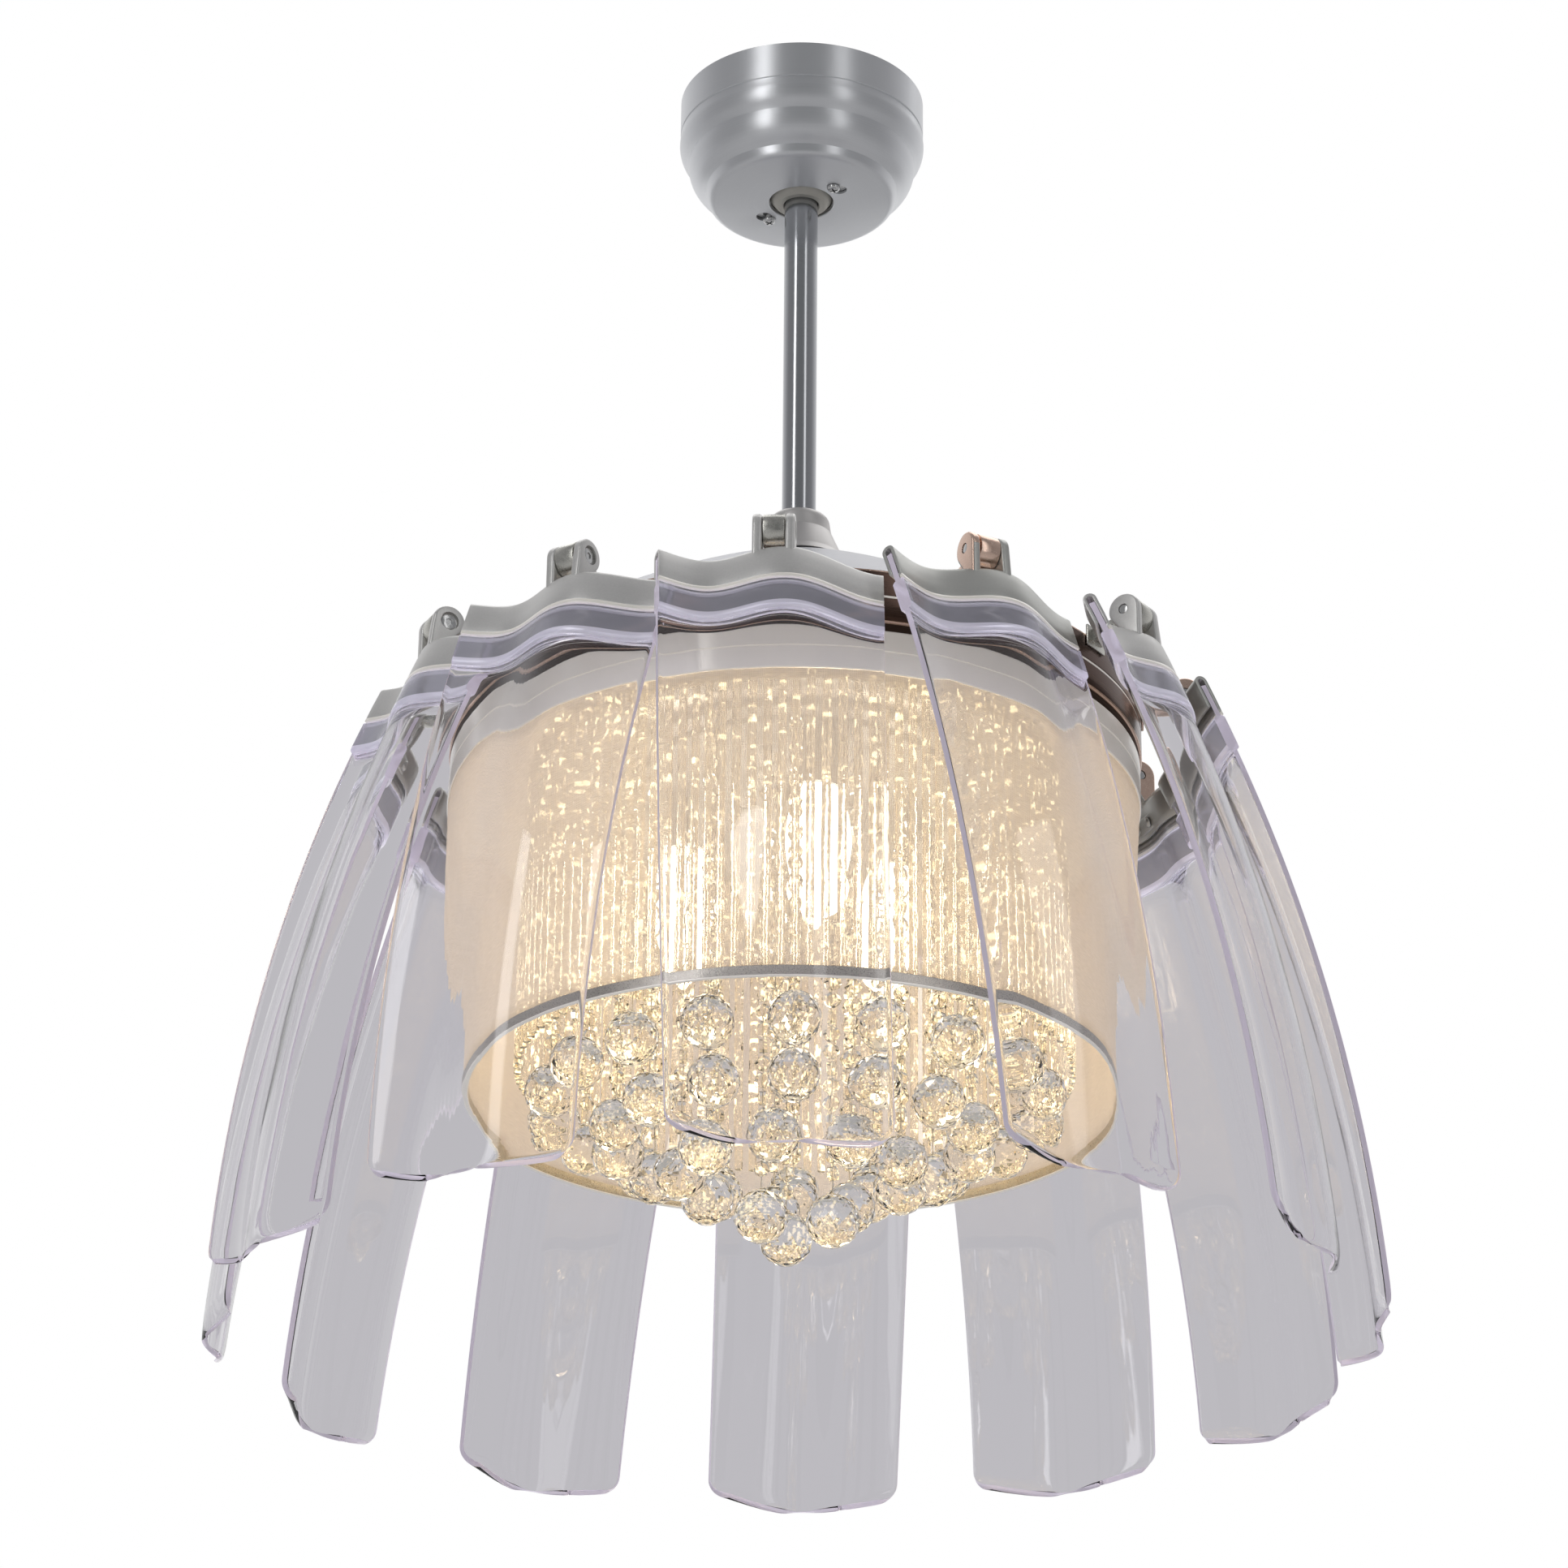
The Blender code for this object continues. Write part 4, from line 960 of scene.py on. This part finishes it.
def make_blades():
    """Blade, bracket and pin at each hinge, from one pattern each."""
    patterns = {
        "blade": (blade_pattern(), BLADE_FINISHES, "clear_blade"),
        "blade_bracket": (bracket_pattern(), BRACKET_FINISHES, "satin_nickel"),
        "hinge_pin": (pin_pattern(), ("steel",), "bright_steel"),
    }
    for index in range(BLADE_COUNT):
        number = f"{index + 1:02d}"
        for name, (pattern, finishes, slot) in patterns.items():
            mesh = pattern.data.copy()
            mesh.transform(hinge_place(index))
            if name == "blade_bracket" and is_warm(index):
                numbers = [bracket_look(polygon) for polygon in pattern.data.polygons]
                mesh.polygons.foreach_set("material_index", numbers)
            piece = added(f"fine_{name}_{number}", mesh)
            dressed(piece, finishes, f"blade_set_{number}", f"{name}_{number}", slot, 40.0)
    for pattern, _, _ in patterns.values():
        bpy.data.objects.remove(pattern)


def make_hinge_arms():
    """Cast arms from the rotor ring to the hinge bosses."""
    for index in range(BLADE_COUNT):
        work = bmesh.new()
        inner = Vector((RING_RADIUS - 0.0024 - HINGE_RADIUS, 0.0, -0.0078))
        outer = Vector((0.0, 0.0, -0.002))
        run = outer - inner
        slope = Matrix.Rotation(-math.atan2(run.z, run.x), 4, "Y")
        middle = at(*(inner + outer) / 2.0)
        soften(work, box(work, (run.length, 0.010, 0.008), middle @ slope), 0.0014, 3)
        soften(work, cylinder(work, BOSS_RADIUS, BOSS_LENGTH, ALONG_Y, 40), 0.0005)
        foot = at(inner.x + 0.0031, 0.0, inner.z)
        soften(work, box(work, (0.0016, 0.018, 0.012), foot), 0.0006)
        bmesh.ops.transform(work, matrix=hinge_place(index), verts=work.verts[:])
        finish = "copper" if is_warm(index) else "cast"
        ride = ("rotor", "rotor_ring", "satin_nickel")
        finished(f"hinge_arm_{index + 1:02d}", work, [finish], *ride)


# Turned pieces


def make_canopy():
    """Stepped cover with a thin groove and two keyholes in its floor."""
    floor = -CANOPY_DEPTH
    outer = [(CANOPY_RADIUS, 0.0), (CANOPY_RADIUS, -0.0210), (CANOPY_RADIUS - 0.0007, -0.0215)]
    outer += [(CANOPY_RADIUS - 0.0007, -0.0221), (CANOPY_RADIUS, -0.0226)]
    outer += bowed((CANOPY_RADIUS, -0.0245), (0.066, -0.0375), 0.0018, 8)
    outer += bowed((0.0650, -0.0392), (0.0568, -0.0555), 0.0026, 10)
    outer += [(0.0550, -0.0572), (0.0545, -0.0590)]
    outer += bowed((0.0542, -0.0600), (0.0505, -0.0638), 0.0009, 5)
    outer += [(CANOPY_HOLE + 0.0004, floor), (CANOPY_HOLE, floor + 0.0004)]
    inner = [(CANOPY_HOLE, floor + CANOPY_WALL), (0.0490, floor + CANOPY_WALL), (0.0640, -0.038)]
    inner += [(CANOPY_RADIUS - CANOPY_WALL, -0.022), (CANOPY_RADIUS - CANOPY_WALL, 0.0)]
    piece = loose_object("fine_canopy", spun(outer + inner, 144))
    bores = []
    for azimuth in SCREW_AZIMUTHS:
        narrow = around(SCREW_CIRCLE, azimuth, floor)
        wide = narrow + around(1.0, azimuth + 90.0) * 0.0042
        bores += [(0.0024, 0.008, at(*narrow)), (0.0046, 0.008, at(*wide), 28)]
    bored(piece, *bores, crossing=True)
    dressed(piece, ["brushed"], "ceiling_side", "canopy", "brushed_nickel", 30.0)


def seat_cone_radius(level):
    """Radius of the seat's cone, which touches the ball along one circle."""
    top = math.asin((SEAT_TOP - BALL_CENTRE) / BALL_RADIUS)
    bottom = math.asin((SEAT_BOTTOM - BALL_CENTRE) / BALL_RADIUS)
    touch = (top + bottom) / 2.0
    reach = BALL_RADIUS + PLAY - (level - BALL_CENTRE) * math.sin(touch)
    return reach / math.cos(touch)


def make_hanger_bracket():
    """Ceiling plate, two folded legs and the seat of the ball."""
    rim = [(0.0, 0.0), (PLATE_RADIUS, 0.0), (PLATE_RADIUS, -PLATE_THICKNESS)]
    rim = eased(rim + [(0.0, -PLATE_THICKNESS)], 0.0005, closed=False)
    piece = loose_object("fine_hanger_plate", spun(rim, 96, closed=False))
    screw_holes = [(0.003, 0.02, at(y=side * 0.045)) for side in (-1.0, 1.0)]
    bored(piece, *screw_holes, (0.008, 0.02, at(y=0.022), 32))
    work = bmesh.new()
    work.from_mesh(piece.data)
    bpy.data.objects.remove(piece)
    leg_level = (SEAT_BOTTOM - PLATE_THICKNESS) / 2.0 + 0.001
    for side in (-1.0, 1.0):
        leg = box(work, (0.003, 0.022, 0.0587), at(side * 0.0345, 0.0, leg_level))
        soften(work, leg, 0.0006)
        foot_place = at(side * 0.0400, 0.0, -PLATE_THICKNESS - 0.0007)
        soften(work, box(work, (0.014, 0.022, 0.0016), foot_place), 0.0005)
    seat = [(SEAT_RADIUS, SEAT_TOP), (SEAT_RADIUS, SEAT_BOTTOM)]
    seat += [(seat_cone_radius(level), level) for level in (SEAT_BOTTOM, SEAT_TOP)]
    add_copy(work, mesh_of("seat", spun(eased(seat, 0.0006), 96)), at())
    ride = ("ceiling_side", "hanger_bracket", "bright_steel")
    finished("fine_hanger_bracket", work, ["steel"], *ride)
    for index, azimuth in enumerate(SCREW_AZIMUTHS):
        screw = canopy_screw(f"fine_canopy_screw_{index + 1}", azimuth, 20.0 + 31.0 * index)
        dressed(screw, ["steel"], *ride)


def canopy_screw(name, azimuth, twist):
    """A pan head with a crossed slot, under the canopy's floor."""
    place = around(SCREW_CIRCLE, azimuth, -CANOPY_DEPTH - PLAY)
    flip = at(*place) @ turn(180.0, "X") @ turn_to(twist)
    work = bmesh.new()
    add_screw_head(work, flip, 0.0038, 0.0022)
    cylinder(work, 0.0019, 0.0062, at(z=0.0030) @ at(*place), 20)
    piece = loose_object(name, work)
    tool = bmesh.new()
    for angle in (0.0, 90.0):
        box(tool, (0.0046, 0.0009, 0.0022), flip @ at(z=0.0019) @ turn(angle))
    cut(piece, tool, crossing=True)
    return piece


def make_hanger_ball():
    top = math.asin(0.0165 / BALL_RADIUS)
    bottom = -math.asin(0.016 / BALL_RADIUS)
    profile = []
    for index in range(25):
        angle = mix(top, bottom, index / 24)
        radius = BALL_RADIUS * math.cos(angle)
        profile.append((radius, BALL_CENTRE + BALL_RADIUS * math.sin(angle)))
    bore = ROD_RADIUS + PLAY
    foot = profile[-1][1]
    profile += [(bore + 0.0008, foot), (bore, foot + 0.0008), (bore, profile[0][1])]
    spun_piece("hanger_ball", profile, "blasted", "hanging_body", "sandblasted_steel")


def make_downrod():
    foot = DOME_TOP - PLAY
    corners = [(ROD_BORE, ROD_TOP), (ROD_RADIUS, ROD_TOP), (ROD_RADIUS, foot), (ROD_BORE, foot)]
    profile = eased(corners, 0.0004)
    spun_piece("downrod", profile, "polished", "hanging_body", "brushed_nickel")


def make_neck_cover():
    """A bell with a round shoulder and a flared foot."""
    hole = ROD_RADIUS + PLAY
    shoulder = (0.0174, NECK_TOP - 0.0056)
    outer = [(hole, NECK_TOP - 0.0004), (hole + 0.0004, NECK_TOP), (0.0124, NECK_TOP)]
    outer += bowed((0.0124, NECK_TOP), shoulder, 0.0014, 8)[1:]
    outer += bowed(shoulder, (0.0280, NECK_FOOT + 0.0006), -0.0020, 14)[1:]
    outer += [(0.0285, NECK_FOOT + 0.0003), (0.0285, NECK_FOOT)]
    inner = [(0.0270, NECK_FOOT), (0.0158, shoulder[1])]
    inner += [(0.0118, NECK_TOP - 0.0015), (hole, NECK_TOP - 0.0015)]
    spun_piece("neck_cover", outer + inner, "silver", "hanging_body", "silver_paint")


def make_motor_dome():
    """A thin bowed shell with a short hub."""
    shell = bowed((0.027, DOME_TOP), (RING_RADIUS - 0.0033, RING_TOP), 0.0045, 36)
    hub_foot = DOME_TOP - HUB_DEPTH
    outer = [(HUB_RADIUS, hub_foot), (HUB_RADIUS, DOME_TOP)] + shell
    inner = [(radius - 0.0005, level - 0.0011) for radius, level in reversed(shell)]
    inner += [(HUB_RADIUS + 0.0012, DOME_TOP - 0.0012), (HUB_RADIUS + 0.0012, hub_foot)]
    spun_piece("motor_dome", outer + inner, "dome", "rotor", "polished_metal", 30.0, 192)


def make_rotor_ring():
    """The cup under the dome. Its side has rolled copper edges and one groove painted bright: a
    painted highlight line.
    """
    middle = (RING_TOP + RING_BOTTOM) / 2.0
    groove = RING_RADIUS - 0.0003
    hub_top = RING_BOTTOM + HUB_DEPTH
    outer = [(RING_RADIUS - RING_WALL, RING_TOP), (RING_RADIUS - 0.0012, RING_TOP)]
    outer += [(groove, RING_TOP - 0.0003), (RING_RADIUS, RING_TOP - 0.0012)]
    outer += [(RING_RADIUS, middle + 0.0009), (groove, middle + 0.0006)]
    outer += [(groove, middle - 0.0006), (RING_RADIUS, middle - 0.0009)]
    outer += [(RING_RADIUS, RING_BOTTOM + 0.0012), (groove, RING_BOTTOM + 0.0003)]
    outer += [(RING_RADIUS - 0.0012, RING_BOTTOM), (HUB_RADIUS, RING_BOTTOM)]
    inner = [(HUB_RADIUS, hub_top), (HUB_RADIUS + 0.003, hub_top)]
    inner += [(HUB_RADIUS + 0.003, RING_BOTTOM + RING_WALL)]
    inner += [(RING_RADIUS - RING_WALL, RING_BOTTOM + RING_WALL)]
    work = spun(outer + inner, 192)
    for face in work.faces:
        centre = face.calc_center_median()
        radius = math.hypot(centre.x, centre.y)
        to_edge = min(abs(centre.z - RING_TOP), abs(centre.z - RING_BOTTOM))
        # The middle groove's faces take the bright band finish: a painted highlight line.
        painted_highlight_line = abs(centre.z - middle) < 0.0005 and radius > RING_RADIUS - 0.002
        edge = to_edge < 0.0008 and radius > RING_RADIUS - 0.0014
        face.material_index = 1 if painted_highlight_line else 2 if edge else 0
    ride = ("rotor", "rotor_ring", "dark_bronze")
    finished("fine_rotor_ring", work, ["bronze", "bright", "copper"], *ride, 30.0)


def make_light_pan():
    """Pan with a bright turned band, grooved round its middle. Its finish carries a painted glow,
    as if lit.
    """
    groove = (PAN_TOP + PAN_FOOT) / 2.0
    outer = [(PAN_HOLE, PAN_TOP), (PAN_RADIUS - 0.0008, PAN_TOP), (PAN_RADIUS, PAN_TOP - 0.0008)]
    outer += [(PAN_RADIUS, groove + 0.0006), (PAN_RADIUS - 0.0007, groove + 0.0003)]
    outer += [(PAN_RADIUS - 0.0007, groove - 0.0003), (PAN_RADIUS, groove - 0.0006)]
    outer += [(PAN_RADIUS, PAN_FOOT + 0.0005), (PAN_RADIUS - 0.0005, PAN_FOOT)]
    inner = [(PAN_RADIUS - PAN_WALL, PAN_FOOT), (PAN_RADIUS - PAN_WALL, PAN_TOP - PAN_WALL)]
    inner += [(PAN_HOLE, PAN_TOP - PAN_WALL)]
    ride = ("hanging_body", "brushed_nickel")
    # The bright band finish adds a painted glow.
    spun_piece("light_pan", outer + inner, "bright", *ride, 30.0, 192)


# Drum shade, crystals and lamps


def make_shade():
    """Sheer cloth stretched from the pan to the foot ring."""
    work = bmesh.new()
    made = bmesh.ops.create_grid(work, x_segments=256, y_segments=20, size=0.5)
    layer = work.loops.layers.uv.new("cloth")
    length = 2.0 * math.pi * SHADE_TOP_RADIUS
    for face in work.faces:
        for loop in face.loops:
            flat = loop.vert.co
            loop[layer].uv = ((flat.x + 0.5) * length, (flat.y + 0.5) * SHADE_HEIGHT)
    for vertex in made["verts"]:
        share = vertex.co.y + 0.5
        angle = 2.0 * math.pi * (vertex.co.x + 0.5)
        slack = 0.0004 * math.sin(31.0 * angle) * math.sin(math.pi * share)
        radius = mix(SHADE_FOOT_RADIUS, SHADE_TOP_RADIUS, share) - SHADE_INSET + slack
        level = SHADE_TOP - SHADE_HEIGHT * (1.0 - share)
        vertex.co = (radius * math.cos(angle), radius * math.sin(angle), level)
    bmesh.ops.remove_doubles(work, verts=work.verts[:], dist=1e-5)
    bmesh.ops.recalc_face_normals(work, faces=work.faces[:])
    ride = ("hanging_body", "shade_fabric", "organza")
    cloth = finished("organza_shade", work, ["organza"], *ride)
    wall = cloth.modifiers.new("cloth", "SOLIDIFY")
    wall.thickness = 0.0003
    wall.offset = 0.0


def make_foot_ring():
    """Dark metal hoop. Its lower edge is painted with the bright band finish: a painted highlight
    line.
    """
    outer = SHADE_FOOT_RADIUS + 0.0005
    inner = outer - FOOT_RING_WIDTH
    foot = FOOT_RING_TOP - FOOT_RING_HEIGHT
    profile = [(outer, FOOT_RING_TOP), (outer, foot), (inner, foot), (inner, FOOT_RING_TOP)]
    work = spun(eased(profile, 0.0007), 192)
    for face in work.faces:
        # Faces at the lower edge: painted highlight.
        face.material_index = 1 if face.calc_center_median().z < foot + 0.0009 else 0
    ride = ("hanging_body", "shade_foot_ring", "polished_metal")
    finished("fine_shade_foot_ring", work, ["gunmetal", "bright"], *ride, 30.0)


def make_curtain():
    """Thin glass rods side by side round the lamps."""
    work = bmesh.new()
    count = 120
    for index in range(count):
        level = CURTAIN_TOP - CURTAIN_LENGTH / 2.0
        place = at(*around(CURTAIN_RADIUS, 360.0 * index / count, level))
        soften(work, cylinder(work, 0.0023, CURTAIN_LENGTH, place, 10), 0.0004, 1)
    ride = ("hanging_body", "crystal_curtain", "cut_crystal")
    finished("glass_rods", work, ["rod_glass"], *ride)


def faceted(name, work):
    """The hull over the points of a form, as a cut crystal."""
    bmesh.ops.delete(work, geom=work.faces[:], context="FACES_ONLY")
    bmesh.ops.delete(work, geom=work.edges[:], context="EDGES_FACES")
    bmesh.ops.convex_hull(work, input=work.verts[:])
    bmesh.ops.recalc_face_normals(work, faces=work.faces[:])
    return mesh_of(name, work)


def faceted_ball():
    """A cut ball: staggered rows of points and the facets between them."""
    work = bmesh.new()
    bmesh.ops.create_uvsphere(work, u_segments=12, v_segments=9, radius=CRYSTAL_RADIUS)
    levels = sorted({round(vertex.co.z, 5) for vertex in work.verts})
    for vertex in work.verts:
        if levels.index(round(vertex.co.z, 5)) % 2:
            vertex.co = Matrix.Rotation(math.radians(15.0), 3, "Z") @ vertex.co
    return faceted("ball", work)


def faceted_bead():
    """A flat eight-sided bead with a sloping girdle."""
    work = bmesh.new()
    small = BEAD_RADIUS * 0.45
    for side, first, second in ((-1.0, small, BEAD_RADIUS), (1.0, BEAD_RADIUS, small)):
        bmesh.ops.create_cone(
            work, cap_ends=True, segments=8, radius1=first, radius2=second,
            depth=BEAD_RADIUS * 0.48, matrix=at(y=side * BEAD_RADIUS * 0.24) @ ALONG_Y,
        )
    return faceted("bead", work)


def make_drops(name):
    """A tier's balls under strings of small beads."""
    count, radius, level, first = TIERS[name]
    ball = faceted_ball()
    bead = faceted_bead()
    glass = bmesh.new()
    beads = bmesh.new()
    wire = bmesh.new()
    hang = level + CRYSTAL_RADIUS
    drop = CARRIER_BOTTOM - hang
    for index in range(count):
        number = index + 7 * count
        place = around(radius, first + 360.0 * index / count, level)
        tilt = turn(4.0 * math.sin(2.3 * number), "X")
        add_copy(glass, ball, at(*place) @ turn(47.0 * number) @ tilt)
        middle = at(place.x, place.y, (CARRIER_BOTTOM + hang) / 2.0)
        cylinder(wire, 0.00045, drop + 0.002, middle, 6)
        cylinder(wire, 0.0016, 0.0016, at(place.x, place.y, hang + 0.0003), 8, 0.6)
        for step in range(int((drop - FIRST_BEAD) / BEAD_PITCH)):
            height = hang + FIRST_BEAD + step * BEAD_PITCH
            add_copy(beads, bead, at(place.x, place.y, height) @ turn(63.0 * (number + step)))
    ride = ("hanging_body", f"crystal_drops_{name}")
    finished(f"{name}_drops_glass", glass, ["crystal"], *ride, "cut_crystal", 0.0)
    finished(f"{name}_drops_beads", beads, ["bead"], *ride, "cut_crystal", 0.0)
    finished(f"{name}_drops_wires", wire, ["steel"], *ride, "bright_steel")
    dressed(drops_carrier(name), ["white"], *ride, "bright_steel")


def drops_carrier(name):
    """Hoops for the outer tiers, a ring with socket holes and a disc for the inner ones."""
    radius = TIERS[name][1]
    inner, outer, top = radius - CARRIER_MARGIN, radius + CARRIER_MARGIN, PAN_TOP - 0.0018
    if name == "inner":
        reach = SOCKET_RADIUS + CARRIER_MARGIN
        inner, outer, top = LAMP_CIRCLE - reach, LAMP_CIRCLE + reach, CARRIER_TOP
    if name == "centre":
        inner, top = PAN_HOLE, CARRIER_TOP
    profile = [(inner, top), (outer, top), (outer, CARRIER_BOTTOM), (inner, CARRIER_BOTTOM)]
    piece = loose_object(f"{name}_drops_carrier", spun(eased(profile, 0.0004), 96))
    if name == "inner":
        places = [at(*lamp_place(index, CARRIER_BOTTOM)) for index in range(LAMP_COUNT)]
        bored(piece, *[(SOCKET_RADIUS + PLAY, 0.02, place, 32) for place in places])
    return piece


def make_lamps():
    """Candle lamps: a collar and a lit bulb."""
    collar_top = SOCKET_FOOT + 0.016
    shoulder = SOCKET_FOOT - PLAY
    tip = SOCKET_FOOT - LAMP_LENGTH
    profile = [(0.0, collar_top), (0.0065, collar_top), (0.0065, shoulder), (0.0115, shoulder)]
    profile += bowed((0.0118, shoulder - 0.002), (0.0172, mix(shoulder, tip, 0.36)), 0.0012, 8)
    profile += bowed((0.0172, mix(shoulder, tip, 0.40)), (0.0030, tip + 0.003), 0.0026, 12)
    profile += [(0.0016, tip + 0.0006), (0.0, tip)]
    for index in range(LAMP_COUNT):
        work = spun(profile, 40, closed=False)
        for face in work.faces:
            face.material_index = 1 if face.calc_center_median().z > shoulder - 0.001 else 0
        bmesh.ops.translate(work, verts=work.verts[:], vec=lamp_place(index))
        name = f"lamp_{index + 1}"
        finished(f"fine_{name}", work, ["lamp", "steel"], "hanging_body", name, "warm_lamp")


def dress_solids():
    """Hidden and plain solids keep their own shape and take a finish."""
    wanted = {
        "motor_shaft": "steel", "upper_bearing": "steel", "lower_bearing": "steel",
        "stator": "copper_wire", "magnet_ring": "ferrite", "lamp_plate": "white",
    }
    for name, finish in wanted.items():
        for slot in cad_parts[name].material_slots:
            slot.material = LOOKS[finish]


# Studio


def softbox(name, place, size, power):
    """A soft box that faces the middle of the fan and isn't seen itself."""
    lamp = bpy.data.lights.new(name, "AREA")
    lamp.shape = "RECTANGLE"
    lamp.size, lamp.size_y = size
    lamp.energy = power
    light = added(name, lamp)
    light.location = place
    aim = Vector((0.0, 0.0, -0.40)) - Vector(place)
    light.rotation_euler = aim.to_track_quat("-Z", "Y").to_euler()
    light.visible_camera = False


def make_floor():
    """Pale floor that looks light to the camera and lends no light to the fan."""
    work = bmesh.new()
    bmesh.ops.create_grid(work, x_segments=1, y_segments=1, size=6.0)
    floor = loose_object("studio_floor", work)
    floor.location.z = -2.30
    material, tree, shader = new_material("studio_floor")
    cloud = noise(tree, object_place(tree), 3.0)
    seen = node(tree, "LightPath").outputs["Is Camera Ray"]
    feed(tree, shader, {
        "Base Color": between(tree, cloud, (0.80, 0.80, 0.80), (0.84, 0.84, 0.84)),
        "Roughness": 0.8,
        "Emission Color": (1.0, 1.0, 1.0),
        "Emission Strength": maths(tree, "MULTIPLY", seen, 0.34),
    })
    floor.data.materials.append(material)


def make_surround():
    """White behind the fan, dark in front of it, and a soft grey through clear pieces."""
    world = bpy.data.worlds.new("studio")
    bpy.context.scene.world = world
    world.use_nodes = True
    tree = world.node_tree
    direction = parted(tree, node(tree, "TexCoord").outputs["Generated"])
    ramp = node(tree, "ValToRGB", {0: spread(tree, direction[1], 0.0, 1.0, -1.0, 1.0)})
    stops = ramp.color_ramp.elements
    stops[0].color = (0.19, 0.195, 0.20, 1.0)
    stops[1].color = (1.0, 1.0, 1.0, 1.0)
    stops.new(0.5).color = (0.30, 0.30, 0.31, 1.0)
    stops.new(0.75).color = (0.62, 0.62, 0.63, 1.0)
    rays = node(tree, "LightPath").outputs
    clear = between(tree, rays["Is Transmission Ray"], ramp.outputs[0], (0.512, 0.503, 0.528))
    colour = between(tree, rays["Is Camera Ray"], clear, (1.0, 1.0, 1.0))
    feed(tree, tree.nodes["Background"], {"Color": colour, "Strength": 1.0})


def set_studio():
    make_floor()
    make_surround()
    softbox("left_strip", (-1.65, -2.25, 0.3), (0.55, 3.4), 15.0)
    softbox("right_strip", (1.65, -2.25, 0.3), (0.55, 3.4), 6.5)
    softbox("top_box", (0.2, 0.9, 1.8), (2.4, 2.0), 14.0)


def set_lamp_light():
    """Warm light from the three lamps."""
    for index in range(LAMP_COUNT):
        name = f"lamp_light_{index + 1}"
        lamp = bpy.data.lights.new(name, "POINT")
        lamp.energy = 0.19
        lamp.color = (1.0, 0.78, 0.50)
        lamp.shadow_soft_size = 0.016
        added(name, lamp).location = lamp_place(index, -0.520)


def main():
    set_camera()
    LOOKS.update(make_finishes())
    make_canopy()
    make_hanger_bracket()
    make_hanger_ball()
    make_downrod()
    make_neck_cover()
    make_motor_dome()
    make_rotor_ring()
    make_hinge_arms()
    make_light_pan()
    make_shade()
    make_foot_ring()
    make_curtain()
    for tier in TIERS:
        make_drops(tier)
    make_lamps()
    make_blades()
    dress_solids()
    set_studio()
    set_lamp_light()
    bpy.context.scene.view_settings.view_transform = "Standard"


main()
